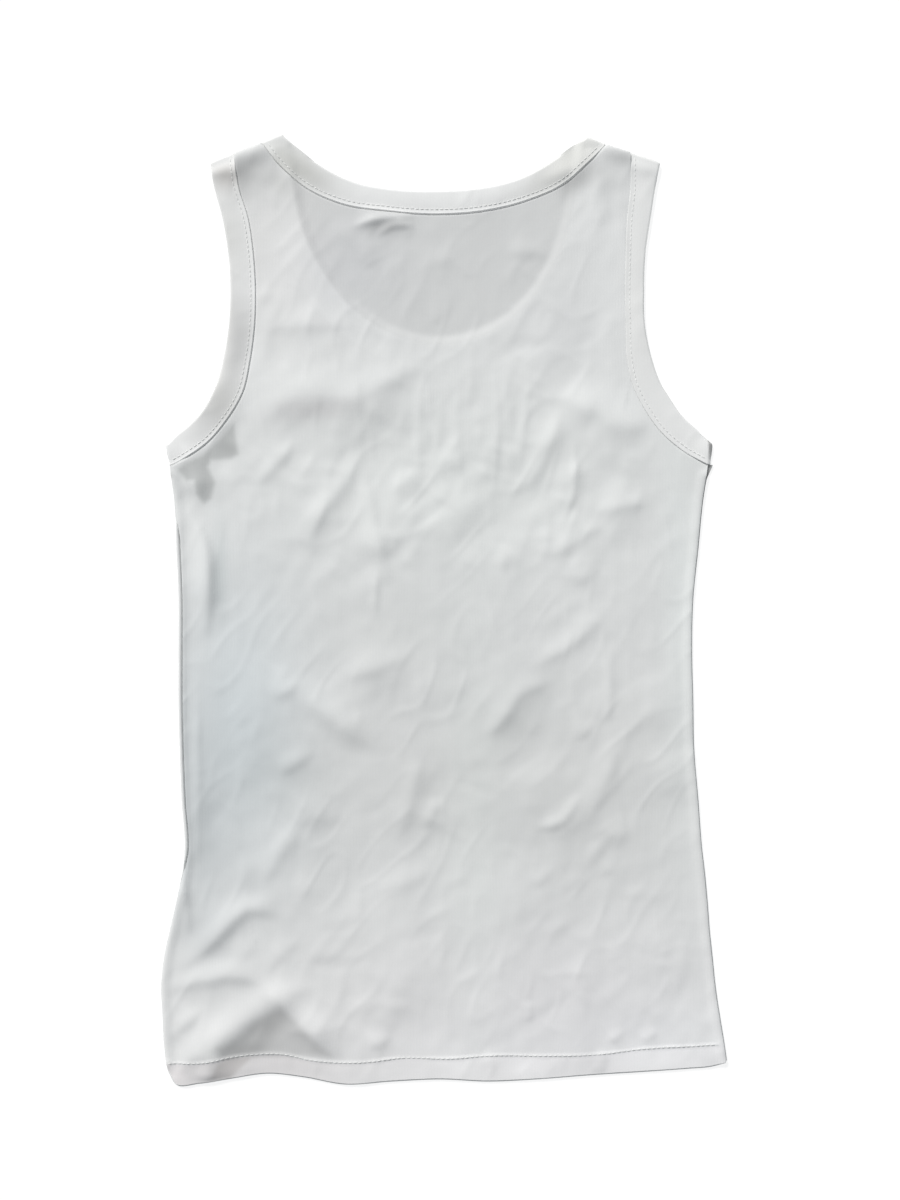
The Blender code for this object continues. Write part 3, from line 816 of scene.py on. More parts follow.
def fill_points(outline, spacing, rows=(), lines=()):
    """Interior points: rows beside the outline, rows beside extra lines, and a grid."""
    closed = Line(np.vstack([outline, outline[:1]]))
    beside = parallel_rows(outline, rows) if rows else []
    kept = []
    for s, row in zip(rows, beside):
        good = inside(row, outline)
        good[good] &= closed.distance(row[good]) > s * 0.9
        kept.append(row[good])
    start = (max(rows) if rows else 0) + spacing * 0.75
    for line in lines:
        good = inside(line, outline)
        good[good] &= closed.distance(line[good]) > start * 0.9
        kept.append(line[good])
    grid = hex_grid(outline, spacing)
    grid = grid[inside(grid, outline)]
    grid = grid[closed.distance(grid) > start]
    if len(lines):
        used = KDTree(sum(len(line) for line in lines))
        k = 0
        for line in lines:
            for x, y in line:
                used.insert((x, y, 0), k)
                k += 1
        used.balance()
        clear = np.array([used.find((x, y, 0))[2] for x, y in grid])
        grid = grid[clear > spacing * 0.6]
    return np.vstack(kept + [grid])


def sheet_mesh(name, outline, faces_of, show_top, inner, hidden_inner):
    """A closed thin shell: one face fine, the other coarse, joined round the outline."""
    fine, fine_faces, fine_from = triangulate(outline, inner)
    rough, rough_faces, rough_from = triangulate(outline, hidden_inner)
    top_f, under_f = faces_of(fine)
    top_r, under_r = faces_of(rough)
    shown = top_f if show_top else under_f
    hidden = under_r if show_top else top_r
    verts = np.vstack(
        [np.column_stack([fine, shown]), np.column_stack([rough, hidden])]
    )
    offset = len(fine)
    place_fine = {src: k for k, srcs in enumerate(fine_from) for src in srcs}
    place_rough = {src: k + offset for k, srcs in enumerate(rough_from) for src in srcs}
    edge = len(outline)
    upper = fine_faces if show_top else [f[::-1] for f in fine_faces]
    lower = [
        tuple(k + offset for k in (f[::-1] if show_top else f)) for f in rough_faces
    ]
    walls = []
    for k in range(edge):
        m = (k + 1) % edge
        walls.append(
            (place_fine[k], place_fine[m], place_rough[m], place_rough[k])
        )
    return make_mesh(name, verts, upper + lower + walls), fine, offset


def make_mesh(name, verts, faces, sharp=60):
    verts = np.asarray(verts, float)
    verts = verts + np.array([CENTRE[0], CENTRE[1], 0.0])
    mesh = bpy.data.meshes.new(name)
    mesh.from_pydata([tuple(v) for v in verts * MM], [], faces)
    solid = bmesh.new()
    solid.from_mesh(mesh)
    bmesh.ops.recalc_face_normals(solid, faces=solid.faces[:])
    solid.to_mesh(mesh)
    solid.free()
    mesh.shade_smooth()
    mesh.set_sharp_from_angle(angle=math.radians(sharp))
    obj = bpy.data.objects.new(name, mesh)
    bpy.context.scene.collection.objects.link(obj)
    return obj


def paint(obj, tone_of):
    """Writes the cloth's painted light and shade at each vertex, from its place."""
    mesh = obj.data
    count = len(mesh.vertices)
    co = np.empty(count * 3, np.float32)
    mesh.vertices.foreach_get("co", co)
    co = co.reshape(-1, 3) / MM - np.array([CENTRE[0], CENTRE[1], 0.0])
    tone = tone_of(co)
    layer = mesh.color_attributes.new("tone", "FLOAT_COLOR", "POINT")
    data = np.ones((count, 4), np.float32)
    data[:, :3] = tone
    layer.data.foreach_set("color", data.ravel())


# ---------------------------------------------------------------- bindings

RIDGE = 0.85


def band_profile(u, width, bold, groove):
    """Height of a binding's outer face above the cloth beside it, u in from the seam;
    bold is how much of the seam's ridge shows, and groove how deep the stitches sink."""
    u = np.asarray(u, float)
    edge = np.clip(u / 0.6, 0, 1)
    crest = 0.25 + (RIDGE - 0.25) * bold
    dip = 0.06 + 0.24 * bold
    height = -dip + (crest + dip) * np.sqrt(np.maximum(1 - (1 - edge) ** 2, 0))
    height -= 0.24 * bold * ease((u - 0.7) / 0.8)
    height -= groove * bold * np.exp(-(((u - 3.3) / 0.7) ** 2))
    body = np.clip((u - 4) / (width - 4), 0, 1)
    height += 0.32 * np.sin(math.pi * body)
    return height - drop(width - u, 1.5)


def band_spots(width):
    fixed = [0, 0.06, 0.18, 0.36, 0.6, 0.9, 1.3, 1.7, 2.2, 2.8, 3.3, 3.8, 4.2, 4.7]
    rest = width - 4.7
    open_part = [4.7 + rest * f for f in (0.12, 0.25, 0.4, 0.55, 0.7, 0.82)]
    rim = [width - s for s in (1.5, 1.1, 0.7, 0.4, 0.17, 0.04, 0)]
    return np.array(sorted(fixed + open_part + rim))


HALF_TURN = 9


def binding(name, back_line, front_line, bold=1.0):
    """A ring of folded strip: on top along the back, under along the front."""
    inner_share = np.array([0.985, 0.75, 0.5, 0.25, 0.02])

    def rows_of(line):
        return [
            (s[:2], s[2:], np.hypot(*(s[2:] - s[:2]))) for s in line
        ]

    spots, inner_spots = [], []
    flat_outer, flat_inner = [], []
    for line in (back_line, front_line):
        for seam, rim, width in rows_of(line):
            u = band_spots(width)
            spots.append(u)
            flat_outer.append(seam + (rim - seam) * (u / width)[:, None])
            flat_inner.append(seam + (rim - seam) * inner_share[:, None])
    n_outer, n_inner = len(spots[0]), len(inner_share)
    back_n, front_n = len(back_line), len(front_line)
    outer_xy = np.array(flat_outer)
    inner_xy = np.array(flat_inner)
    back_flat = outer_xy[:back_n].reshape(-1, 2)
    # heights of the back run
    base = lie(back_flat, with_details=False)[0].reshape(back_n, n_outer)
    widths = np.array([np.hypot(*(s[2:] - s[:2])) for s in back_line])
    shape = np.array([band_profile(u, w, bold, 0.05) for u, w in zip(spots[:back_n], widths)])
    run = np.r_[0, np.cumsum(np.hypot(*np.diff(back_line[:, :2], axis=0).T))]
    from_end = np.minimum(run, run[-1] - run)
    settled = ease(from_end / 14)[:, None]
    end_base = OVER_BAND + 1.35
    z_outer_back = (base * settled + end_base * (1 - settled)) + shape
    rest = resting_height(inner_xy[:back_n].reshape(-1, 2))[0].reshape(back_n, n_inner)
    over_front = np.maximum(rest, OVER_BAND * (1 - settled))
    if back_line is front_line or name.startswith("armhole"):
        over_front = np.full_like(rest, OVER_BAND)
    beside = [n_outer - 1, 17, 14, 9, 1]
    lifted = (base * settled + end_base * (1 - settled))[:, beside]
    z_inner_back = over_front + 0.6 * np.maximum(
        lifted + shape[:, beside] - 1.6 - over_front - 0.5, 0
    )
    z_outer_back = np.maximum(z_outer_back, over_front.max(axis=1)[:, None] + 0.25)
    # heights of the front run, which faces down
    widths_f = np.array([np.hypot(*(s[2:] - s[:2])) for s in front_line])
    shape_f = np.array([band_profile(u, w, 1.0, 0.28) for u, w in zip(spots[back_n:], widths_f)])
    front_flat = outer_xy[back_n:].reshape(-1, 2)
    sway = np.abs(waves(front_flat, 31, 10, 20, 60, 0.1)).reshape(front_n, n_outer)
    z_outer_front = np.maximum(RIDGE - shape_f, 0) * 0.9 + sway * 0.5
    z_outer_front = np.minimum(z_outer_front, 1.7)
    z_inner_front = np.full((front_n, n_inner), 1.9)
    sections = []

    def section(xy_o, z_o, xy_i, z_i):
        sections.append(
            np.vstack([np.column_stack([xy_o, z_o]), np.column_stack([xy_i, z_i])])
        )

    def turn(end, way, reverse):
        b = 0 if end == "start" else back_n - 1
        f = back_n if end == "start" else back_n + front_n - 1
        angles = [math.pi * (k + 1) / (HALF_TURN + 1) for k in range(HALF_TURN)]
        for angle in angles[::-1] if reverse else angles:
            zo_b, zo_f = z_outer_back[b], z_outer_front[f - back_n]
            zi_b, zi_f = z_inner_back[b], z_inner_front[f - back_n]
            ro, ri = (zo_b - zo_f) / 2, (zi_b - zi_f) / 2
            share = (1 - math.cos(angle)) / 2
            out_xy = outer_xy[b] * (1 - share) + outer_xy[f] * share
            in_xy = inner_xy[b] * (1 - share) + inner_xy[f] * share
            out_xy = out_xy + way * (ro * math.sin(angle))[:, None]
            in_xy = in_xy + way * (ri * math.sin(angle))[:, None]
            section(
                out_xy,
                (zo_b + zo_f) / 2 + ro * math.cos(angle),
                in_xy,
                (zi_b + zi_f) / 2 + ri * math.cos(angle),
            )

    for k in range(back_n):
        section(outer_xy[k], z_outer_back[k], inner_xy[k], z_inner_back[k])
    turn("end", outward(back_line[-1], back_line[-8]), False)
    for k in range(front_n)[::-1]:
        section(
            outer_xy[back_n + k],
            z_outer_front[k],
            inner_xy[back_n + k],
            z_inner_front[k],
        )
    turn("start", outward(back_line[0], back_line[7]), True)
    count, size = len(sections), len(sections[0])
    verts = np.vstack(sections)
    faces = []
    for i in range(count):
        j = (i + 1) % count
        for k in range(size):
            m = (k + 1) % size
            faces.append((i * size + k, j * size + k, j * size + m, i * size + m))
    obj = make_mesh(name, verts, faces, sharp=44)
    # where the stitches of the back run and the front run lie
    at = 10  # the spot in the groove
    back_run = np.column_stack([outer_xy[:back_n, at], z_outer_back[:, at]])
    front_run = np.column_stack([outer_xy[back_n:, at], z_outer_front[:, at]])
    return obj, back_run, front_run


# ---------------------------------------------------------------- stitches


def stitches(name, runs, length=2.7, gap=0.75, thick=0.5):
    """Short threads laid end to end along each run; the last value of a run says
    whether it faces up (1) or down (-1)."""
    verts, faces = [], []
    ring = 6
    profile = [(0.0, 0.02), (0.1, 0.7), (0.3, 1.0), (0.7, 1.0), (0.9, 0.7), (1.0, 0.02)]
    rng = np.random.default_rng(11)
    for path, up in runs:
        step = np.r_[0, np.cumsum(np.sqrt((np.diff(path, axis=0) ** 2).sum(axis=1)))]
        start = 1.0
        while start + length < step[-1] - 1.0:
            long = length * rng.uniform(0.94, 1.06)
            base = len(verts)
            for share, wide in profile:
                s = start + long * share
                centre = np.array([np.interp(s, step, path[:, c]) for c in range(3)])
                ahead = np.array(
                    [np.interp(s + 0.4, step, path[:, c]) for c in range(3)]
                ) - np.array([np.interp(s - 0.4, step, path[:, c]) for c in range(3)])
                ahead /= max(np.linalg.norm(ahead), 1e-9)
                across = np.cross([0, 0, 1.0], ahead)
                across /= max(np.linalg.norm(across), 1e-9)
                raised = (0.2 if up > 0 else 0.14) + 0.12 * math.sin(math.pi * share)
                lift = np.array([0, 0, up * raised])
                for k in range(ring):
                    angle = 2 * math.pi * k / ring
                    r = thick / 2 * wide
                    verts.append(
                        centre
                        + lift
                        + across * r * math.cos(angle)
                        + np.array([0, 0, 1.0]) * r * 0.8 * math.sin(angle)
                    )
            n = len(profile)
            for i in range(n - 1):
                for k in range(ring):
                    m = (k + 1) % ring
                    a = base + i * ring
                    faces.append((a + k, a + m, a + ring + m, a + ring + k))
            faces.append(tuple(base + k for k in range(ring))[::-1])
            faces.append(tuple(base + (n - 1) * ring + k for k in range(ring)))
            start += long + gap
    return make_mesh(name, np.array(verts), faces)


# ---------------------------------------------------------------- materials


def node(tree, kind, **values):
    made = tree.nodes.new(kind)
    for key, value in values.items():
        setattr(made, key, value)
    return made


def math_node(tree, operation, a, b=None, clamp=False):
    made = node(tree, "ShaderNodeMath", operation=operation, use_clamp=clamp)
    for slot, value in zip(made.inputs, (a, b)):
        if value is None:
            continue
        if isinstance(value, (int, float)):
            slot.default_value = value
        else:
            tree.links.new(value, slot)
    return made.outputs[0]


def jersey(name, colour, wale=1.05, course=0.8, depth=0.00012, strength=0.35, turn=0.0):
    """White cotton jersey: fine upright wales of small V stitches, a little uneven."""
    material = bpy.data.materials.new(name)
    material.use_nodes = True
    tree = material.node_tree
    shader = tree.nodes["Principled BSDF"]
    shader.inputs["Roughness"].default_value = 0.92
    shader.inputs["Specular IOR Level"].default_value = 0.25
    shader.inputs["Sheen Weight"].default_value = 0.12
    shader.inputs["Sheen Roughness"].default_value = 0.5
    place = node(tree, "ShaderNodeTexCoord")
    split = node(tree, "ShaderNodeSeparateXYZ")
    tree.links.new(place.outputs["Object"], split.inputs[0])
    x, y = split.outputs[0], split.outputs[1]
    if turn:
        c, s = math.cos(turn), math.sin(turn)
        x, y = (
            math_node(
                tree, "ADD", math_node(tree, "MULTIPLY", x, c), math_node(tree, "MULTIPLY", y, s)
            ),
            math_node(
                tree, "SUBTRACT", math_node(tree, "MULTIPLY", y, c), math_node(tree, "MULTIPLY", x, s)
            ),
        )
    # slow wander of the wales
    drift = node(tree, "ShaderNodeTexNoise")
    drift.inputs["Scale"].default_value = 18.0
    drift.inputs["Detail"].default_value = 1.0
    tree.links.new(place.outputs["Object"], drift.inputs["Vector"])
    wander = math_node(tree, "MULTIPLY", drift.outputs[0], 0.0022)
    x = math_node(tree, "ADD", x, wander)
    u = math_node(tree, "FRACT", math_node(tree, "MULTIPLY", x, 1000 / wale))
    centre = math_node(tree, "ABSOLUTE", math_node(tree, "SUBTRACT", u, 0.5))
    side = math_node(tree, "MULTIPLY", centre, 2.0)
    v = math_node(tree, "MULTIPLY", y, 1000 / course)
    slant = math_node(tree, "ADD", v, math_node(tree, "MULTIPLY", side, 0.55))
    loop = math_node(tree, "SINE", math_node(tree, "MULTIPLY", slant, 2 * math.pi))
    rib = math_node(tree, "SUBTRACT", 1.0, math_node(tree, "POWER", side, 2.4))
    height = math_node(tree, "ADD", rib, math_node(tree, "MULTIPLY", loop, 0.22))
    fuzz = node(tree, "ShaderNodeTexNoise")
    fuzz.inputs["Scale"].default_value = 2600.0
    fuzz.inputs["Detail"].default_value = 2.0
    tree.links.new(place.outputs["Object"], fuzz.inputs["Vector"])
    height = math_node(
        tree, "ADD", height, math_node(tree, "MULTIPLY", fuzz.outputs[0], 0.5)
    )
    bump = node(tree, "ShaderNodeBump")
    bump.inputs["Strength"].default_value = strength
    bump.inputs["Distance"].default_value = depth
    tree.links.new(height, bump.inputs["Height"])
    tree.links.new(bump.outputs[0], shader.inputs["Normal"])
    # colour: base, painted shade between the wales, cloudy, and the painted light and shade of the tone attribute
    tone = node(tree, "ShaderNodeAttribute", attribute_name="tone")
    cloud = node(tree, "ShaderNodeTexNoise")
    cloud.inputs["Scale"].default_value = 55.0
    cloud.inputs["Detail"].default_value = 4.0
    cloud.inputs["Roughness"].default_value = 0.6
    tree.links.new(place.outputs["Object"], cloud.inputs["Vector"])
    cloudy = math_node(
        tree, "ADD", math_node(tree, "MULTIPLY", cloud.outputs[0], 0.035), 0.9825
    )
    # painted shade: darker between the wales
    between = math_node(
        tree, "SUBTRACT", 1.0, math_node(tree, "MULTIPLY", math_node(tree, "POWER", side, 4.0), 0.03)
    )
    light = math_node(tree, "MULTIPLY", cloudy, between)
    base = node(tree, "ShaderNodeRGB")
    base.outputs[0].default_value = (*colour, 1)
    mix = node(tree, "ShaderNodeVectorMath", operation="MULTIPLY")
    tree.links.new(base.outputs[0], mix.inputs[0])
    tree.links.new(tone.outputs["Color"], mix.inputs[1])
    mixed = node(tree, "ShaderNodeVectorMath", operation="SCALE")
    tree.links.new(mix.outputs[0], mixed.inputs[0])
    tree.links.new(light, mixed.inputs["Scale"])
    tree.links.new(mixed.outputs[0], shader.inputs["Base Color"])
    return material


def thread(name, colour):
    material = bpy.data.materials.new(name)
    material.use_nodes = True
    tree = material.node_tree
    shader = tree.nodes["Principled BSDF"]
    shader.inputs["Roughness"].default_value = 0.7
    place = node(tree, "ShaderNodeTexCoord")
    twist = node(tree, "ShaderNodeTexWave", wave_type="BANDS", bands_direction="DIAGONAL")
    twist.inputs["Scale"].default_value = 900.0
    tree.links.new(place.outputs["Object"], twist.inputs["Vector"])
    bump = node(tree, "ShaderNodeBump")
    bump.inputs["Strength"].default_value = 0.4
    bump.inputs["Distance"].default_value = 0.00008
    tree.links.new(twist.outputs["Fac"], bump.inputs["Height"])
    tree.links.new(bump.outputs[0], shader.inputs["Normal"])
    # painted shade: darker in the grooves of the thread's twist
    ramp = node(tree, "ShaderNodeMixRGB")
    ramp.inputs[1].default_value = (*[c * 0.93 for c in colour], 1)
    ramp.inputs[2].default_value = (*colour, 1)
    tree.links.new(twist.outputs["Fac"], ramp.inputs[0])
    tree.links.new(ramp.outputs[0], shader.inputs["Base Color"])
    return material


WHITE = (0.785, 0.79, 0.787)
BAND_WHITE = (0.885, 0.885, 0.88)

# Painted light and shade: where the cloth is painted lighter, darker, warmer or cooler for how the light falls on its
# slopes and folds: centre, reach, turn, colour.
PAINTED_LIGHT_AND_SHADE = [
    ((-143, -80), (44, 98), 0, (0.905, 0.95, 0.975)),
    ((-170, -160), (22, 72), 0, (0.885, 0.90, 0.91)),
    ((-168, -226), (17, 18), 30, (0.89, 0.895, 0.90)),
    ((-30, -112), (140, 70), 0, (0.918, 0.918, 0.915)),
    ((110, -120), (74, 80), 0, (0.93, 0.93, 0.927)),
    ((0, -235), (190, 50), 0, (0.975, 0.973, 0.972)),
    ((177, 90), (12, 16), 0, (0.93, 0.93, 0.93)),
    ((20, -170), (24, 170), 0, (1.02, 1.03, 1.022)),
    ((10, 90), (130, 70), 0, (1.005, 1.015, 1.005)),
    ((-60, -300), (160, 50), 0, (1.015, 1.005, 1.005)),
    ((80, 195), (24, 26), 0, (0.955, 0.955, 0.96)),
    ((-120, 250), (40, 60), 0, (1.0, 0.99, 0.985)),
    ((165, 0), (14, 150), 0, (1.02, 1.035, 1.03)),
    # folds that the light doesn't reach
    ((-169, 84), (7, 8), 0, (1.07, 1.07, 1.07)),
    ((-70, 240), (40, 36), 0, (0.985, 0.985, 1.0)),
    ((-150, 111), (6, 5), -30, (0.88, 0.88, 0.88)),
    ((-154, 97), (6, 5), 0, (1.06, 1.06, 1.06)),
    ((-134, 174), (9, 22), 0, (1.09, 1.09, 1.09)),
    ((112, 240), (16, 80), 0, (1.05, 1.05, 1.05)),
    ((-116, 246), (22, 38), 0, (1.06, 1.06, 1.06)),
    ((80, -270), (120, 56), 0, (1.0, 0.99, 1.003)),
    ((106, -318), (8, 8), 0, (0.92, 0.92, 0.92)),
    ((-143, 300), (18, 10), 20, (0.77, 0.77, 0.768)),
    ((-113, 297), (13, 8), -35, (0.90, 0.90, 0.895)),
    ((94, 300), (15, 8), 35, (0.78, 0.78, 0.778)),
    ((126, 315), (11, 5), -12, (0.80, 0.80, 0.80)),
    ((-136, 312), (18, 6), 26, (0.84, 0.84, 0.84)),
    ((112, 303), (14, 10), -18, (0.93, 0.93, 0.93)),
    ((-136, -307), (17, 5), 6, (0.80, 0.80, 0.80)),
    ((-122, -291), (14, 8), 38, (0.84, 0.84, 0.84)),
    ((-92, -284), (10, 7), -45, (1.07, 1.07, 1.07)),
    ((-188, -326), (9, 8), 0, (1.13, 1.11, 1.11)),
    ((-164, -308), (9, 5), 20, (1.14, 1.14, 1.13)),
    ((60, -304), (150, 20), 0, (1.035, 1.035, 1.04)),
    ((156, -298), (50, 26), 0, (1.05, 1.05, 1.055)),
    ((8, -320), (12, 9), 0, (1.08, 1.08, 1.08)),
    ((58, -320), (16, 9), 0, (1.10, 1.10, 1.10)),
    ((150, -315), (30, 9), 0, (1.06, 1.06, 1.06)),
    ((50, -70), (42, 26), 20, (0.90, 0.905, 0.905)),
    ((-115, -120), (30, 28), 0, (0.88, 0.885, 0.885)),
    ((-165, -140), (26, 54), 0, (0.92, 0.92, 0.92)),
    ((-42, -16), (60, 26), 0, (0.925, 0.928, 0.925)),
    ((-17, -120), (34, 28), 0, (0.945, 0.945, 0.945)),
    ((128, 146), (26, 16), 10, (1.07, 1.07, 1.07)),
    ((-90, 139), (30, 8), 6, (0.94, 0.925, 0.93)),
    ((-160, -322), (10, 9), 40, (0.90, 0.90, 0.90)),
    ((-157, 28), (6, 30), 0, (0.91, 0.93, 0.93)),
    ((-41, 267), (13, 4), 12, (0.80, 0.80, 0.80)),
]


# Folds in shade with a clearer outline: outline, how soft its edge is, colour.
SHADES = [
    (
        [(-114, -277), (-98, -293), (-79, -312), (-156, -312), (-158, -305), (-144, -299), (-132, -287)],
        7.5,
        (0.79, 0.79, 0.788),
    ),
    ([(-135, -313), (-150, -328), (-163, -328), (-158, -317), (-152, -313)], 4.0, (0.82, 0.81, 0.80)),
    (
        [(-147, 129), (-144, 108), (-149, 105), (-163, 104), (-165, 99), (-160, 88), (-163, 77)]
        + [(-168, 74), (-173, 80), (-174, 90), (-180, 90), (-186, 97), (-181, 102), (-169, 107)]
        + [(-157, 118)],
        4.5,
        (0.74, 0.745, 0.742),
    ),
]
SHADES = [(np.array(line, float), soft, colour) for line, soft, colour in SHADES]
SHADES = [
    (line, Line(np.vstack([line, line[:1]])), soft, np.array(colour))
    for line, soft, colour in SHADES
]


# painted light and shade: the shaded fold outlines, then the lighter and darker patches
def add_painted_light_and_shade(flat, tone):
    for line, edge, soft, colour in SHADES:
        near = np.flatnonzero(
            (np.abs(flat - (line.min(axis=0) + line.max(axis=0)) / 2) <= np.ptp(line, axis=0) / 2 + soft).all(axis=1)
        )
        if not len(near):
            continue
        away = edge.distance(flat[near])
        away = np.where(inside(flat[near], line), away, -away)
        tone[near] *= 1 + ease(0.5 + away / soft)[:, None] * (colour - 1)
    for (x, y), (rx, ry), turn, colour in PAINTED_LIGHT_AND_SHADE:
        c, s = math.cos(math.radians(turn)), math.sin(math.radians(turn))
        dx, dy = flat[:, 0] - x, flat[:, 1] - y
        a, b = (dx * c + dy * s) / rx, (dy * c - dx * s) / ry
        tone *= 1 + np.exp(-(a**2) - b**2)[:, None] * (np.array(colour) - 1)
    return tone


def panel_tone(co):
    """Painted shade on the single layer over the front's scoop, painted light over its binding beneath, painted light
    and shade on the turned hem, and the painted patches.
    """
    flat = co[:, :2]
    in_scoop = inside(flat, NF[::3, 2:])
    from_rim = near_scoop_rim.distance(flat)
    # painted shade: the single layer over the scoop is darker, for the light passing through it; painted light over
    # the front's binding
    shade = np.where(in_scoop, 1 - 0.105 * ease(from_rim / 3.0 + 0.15), 1.0)
    on_band = inside(flat, NF[::3, :2]) & ~in_scoop
    shade = np.where(on_band, 1.012, shade)
    tone = np.repeat(shade[:, None], 3, axis=1)
    # painted light and shade on the turned hem below the stitches: darker and warmer towards the wearer's left,
    # lighter towards the right
    low = flat[:, 1] < np.interp(flat[:, 0], STITCH_LINE[:, 0], STITCH_LINE[:, 1]) - 0.8
    share = ease((flat[:, 0] + 110) / 60)[:, None]
    hem_light_and_shade = np.array([1.0, 0.975, 0.98]) * (1 - share) + np.array([1.045, 1.035, 1.04]) * share
    tone = np.where(low[:, None], tone * hem_light_and_shade, tone)
    return add_painted_light_and_shade(flat, tone)


def front_tone(co):
    """The front's edge that shows past the back below the right armhole is in shade."""
    tone = np.ones((len(co), 3))
    share = ease((co[:, 0] - 160) / 6) * ease((co[:, 2] - 0.45) / 0.4)
    share = share * ease((co[:, 1] + 10) / 90)
    return tone * (1 - 0.52 * share)[:, None]


# Painted shade on the bindings' upper side: centre, reach, turn, colour.
BAND_PAINTED_SHADE = [
    ((-112, 313), (16, 15), 0, (0.91, 0.91, 0.89)),
    ((-152, 300), (12, 10), 0, (0.90, 0.885, 0.875)),
    ((-155, 190), (12, 60), 0, (0.93, 0.925, 0.92)),
    ((-160, 150), (16, 22), 40, (0.93, 0.93, 0.92)),
    ((90, 322), (20, 16), 0, (0.95, 0.95, 0.93)),
    ((-143, 194), (13, 24), 0, (0.77, 0.77, 0.77)),
    ((-160, 140), (20, 13), 38, (0.8, 0.8, 0.8)),
    ((-150, 262), (14, 24), 10, (0.90, 0.90, 0.89)),
    ((-152, 303), (9, 7), 0, (0.84, 0.83, 0.82)),
    ((-96, 304), (22, 10), -30, (0.75, 0.75, 0.735)),
    ((78, 303), (30, 12), 34, (0.83, 0.83, 0.815)),
    ((-174, 124), (14, 9), 38, (0.93, 0.93, 0.93)),
    ((135, 200), (34, 120), 0, (0.94, 0.94, 0.935)),
]


def band_tone(co):
    """The bindings, which are whiter, with painted shade on a few stretches of the upper side."""
    tone = np.ones((len(co), 3))
    upper = ease((co[:, 2] - 1.1) / 0.6)[:, None]
    for (x, y), (rx, ry), turn, colour in BAND_PAINTED_SHADE:
        c, s = math.cos(math.radians(turn)), math.sin(math.radians(turn))
        dx, dy = co[:, 0] - x, co[:, 1] - y
        a, b = (dx * c + dy * s) / rx, (dy * c - dx * s) / ry
        tone *= 1 + np.exp(-(a**2) - b**2)[:, None] * upper * (np.array(colour) - 1)
    # the front's part of the right armhole, standing out under the back's, is in shade
    share = ease((co[:, 0] - 183.8) / 1.0) * ease((co[:, 2] - 0.4) / 0.4)
    share = share * ease((co[:, 1] - 100) / 12)
    return tone * (1 - 0.55 * share)[:, None]


# ---------------------------------------------------------------- build the pieces

panel_rows = (0.18, 0.45, 0.85, 1.4, 2.1, 3.0)
stitch_rows = [STITCH_LINE + np.array([0, d]) for d in (-1.4, -0.8, -0.4, 0, 0.4, 0.8, 1.4, 2.1, 2.9)]
scoop_rows = []

inner = fill_points(BACK_OUTLINE, BACK_GRID, panel_rows, stitch_rows)
hidden = fill_points(BACK_OUTLINE, HIDDEN_GRID, (1.6,))
back, _, _ = sheet_mesh("back", BACK_OUTLINE, back_faces, True, inner, hidden)

inner = fill_points(FRONT_OUTLINE, FRONT_GRID, panel_rows[1:], stitch_rows[1:-1])
hidden = fill_points(FRONT_OUTLINE, HIDDEN_GRID, (0.3, 0.8, 1.45, 2.1, 2.6, 2.85))
front, _, _ = sheet_mesh("front", FRONT_OUTLINE, front_faces, False, inner, hidden)

neck, neck_back_run, neck_front_run = binding("neckband", NB, NF)
arm_left, al_back, al_front = binding("armhole_left", AL, AL)
arm_right, ar_back, ar_front = binding("armhole_right", AR, AR_FRONT, bold=0.12)
# pulled flush towards the shoulder
ar_back = ar_back - np.array([0, 0, 0.17]) * ease((ar_back[:, 1] - 140) / 50)[:, None]

hem_x = STITCH_LINE[(STITCH_LINE[:, 0] > -194.5) & (STITCH_LINE[:, 0] < 192.5)]
hem_top = np.column_stack([hem_x, back_faces(hem_x)[0]])
hem_low = np.column_stack([hem_x, front_faces(hem_x)[1]])
hem_stitches = stitches("hem_stitches", [(hem_top, 1), (hem_low, -1)])
band_stitches = stitches(
    "binding_stitches",
    [
        (neck_back_run, 1),
        (neck_front_run, -1),
        (al_back, 1),
        (al_front, -1),
        (ar_back, 1),
        (ar_front, -1),
    ],
)

panel_cloth = jersey("jersey_panel", WHITE)
band_cloth = jersey("jersey_binding", BAND_WHITE, strength=0.28)
white_thread = thread("white_thread", (0.9, 0.9, 0.89))

for obj, material, tone in (
    (back, panel_cloth, panel_tone),
    (front, panel_cloth, front_tone),
    (neck, band_cloth, band_tone),
    (arm_left, band_cloth, band_tone),
    (arm_right, band_cloth, band_tone),
):
    obj.data.materials.clear()
    obj.data.materials.append(material)
    paint(obj, tone)
for obj in (hem_stitches, band_stitches):
    obj.data.materials.clear()
    obj.data.materials.append(white_thread)

for obj, nodes, slot in (
    (back, "back_panel", "back_panel"),
    (front, "front_panel", "front_panel"),
    (neck, "neck_binding", "neck_binding"),
    (arm_left, "armhole_binding_left", "armhole_binding"),
    (arm_right, "armhole_binding_right", "armhole_binding"),
):
    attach(obj, "root")
    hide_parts(nodes)
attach(hem_stitches, "root")
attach(band_stitches, "root")


# ---------------------------------------------------------------- floor, light, camera

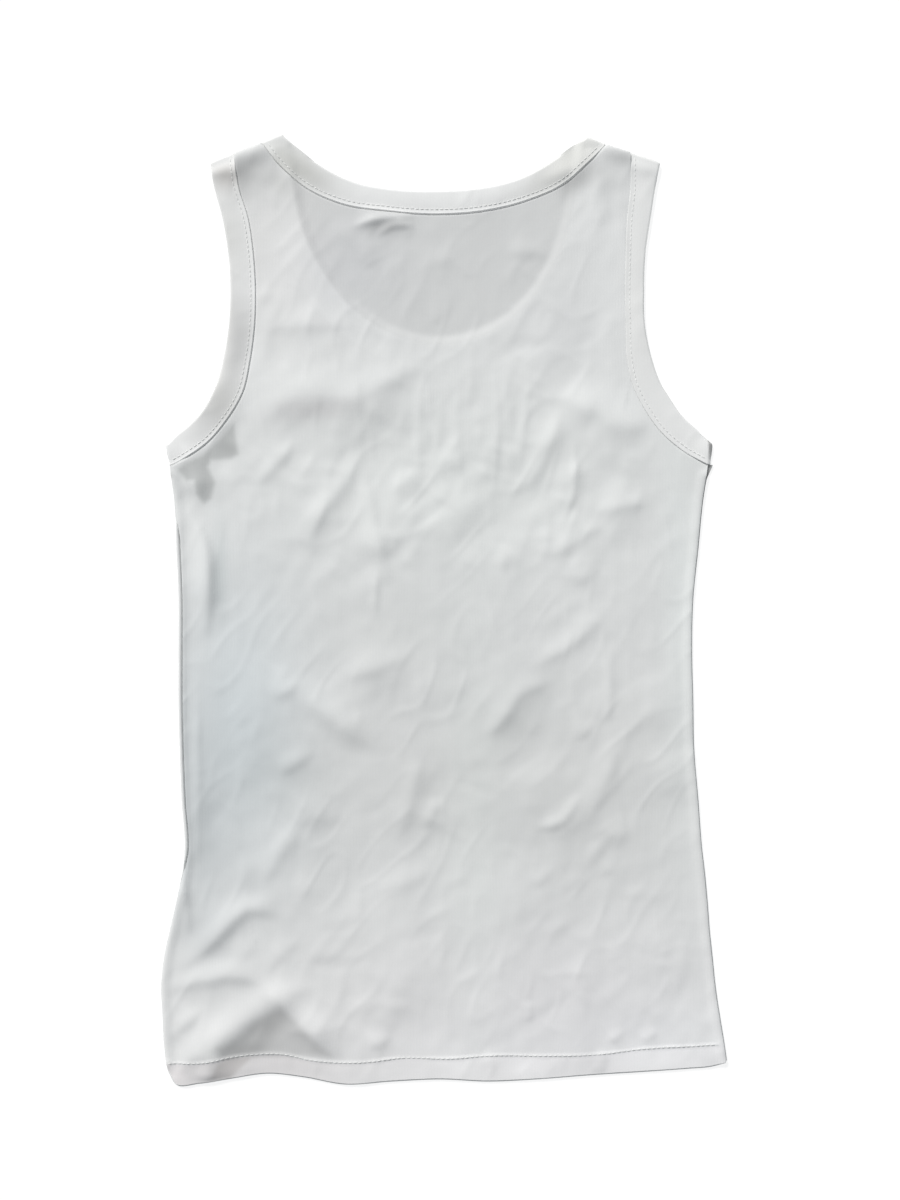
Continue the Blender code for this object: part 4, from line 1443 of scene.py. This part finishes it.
floor_mesh = bpy.data.meshes.new("floor")
reach = 12.0
floor_mesh.from_pydata(
    [(-reach, -reach, 0), (reach, -reach, 0), (reach, reach, 0), (-reach, reach, 0)],
    [],
    [(0, 1, 2, 3)],
)
floor = bpy.data.objects.new("floor", floor_mesh)
floor.location = (0, 0, -0.0004)
bpy.context.scene.collection.objects.link(floor)
paper = bpy.data.materials.new("floor_white")
paper.use_nodes = True
shader = paper.node_tree.nodes["Principled BSDF"]
shader.inputs["Base Color"].default_value = (0.30, 0.30, 0.30, 1)
shader.inputs["Roughness"].default_value = 1.0
shader.inputs["Specular IOR Level"].default_value = 0.0
shader.inputs["Emission Color"].default_value = (1, 1, 1, 1)
shader.inputs["Emission Strength"].default_value = 0.78
floor_mesh.materials.append(paper)

world = bpy.data.worlds.new("studio")
bpy.context.scene.world = world
world.use_nodes = True
sky = world.node_tree.nodes["Background"]
sky.inputs["Color"].default_value = (0.93, 0.97, 1.0, 1)
sky.inputs["Strength"].default_value = 0.385


def sun(name, toward, angle, strength, colour):
    lamp = bpy.data.lights.new(name, "SUN")
    lamp.angle = math.radians(angle)
    lamp.energy = strength
    lamp.color = colour
    obj = bpy.data.objects.new(name, lamp)
    obj.rotation_euler = Vector(toward).to_track_quat("Z", "Y").to_euler()
    obj.location = Vector(toward) * 2
    bpy.context.scene.collection.objects.link(obj)
    return obj


sun("key", (-0.39, 0.68, 0.62), 16, 2.62, (1.0, 0.99, 0.975))

camera_data = bpy.data.cameras.new("camera")
camera = bpy.data.objects.new("camera", camera_data)
camera.location = (0.00404, 0.00728, 1.1667)
camera.rotation_euler = (0, 0, 0)
camera_data.lens = 50.0
camera_data.sensor_width = 36.0
camera_data.clip_end = 20.0
bpy.context.scene.collection.objects.link(camera)
bpy.context.scene.camera = camera

bpy.context.scene.view_settings.view_transform = "Standard"
bpy.context.scene.view_settings.look = "None"
bpy.context.scene.view_settings.exposure = 0.0
bpy.context.scene.view_settings.gamma = 1.0

for obj in (back, front, neck, arm_left, arm_right, hem_stitches, band_stitches):
    obj.data.calc_loop_triangles()
    print("triangles", obj.name, len(obj.data.loop_triangles))
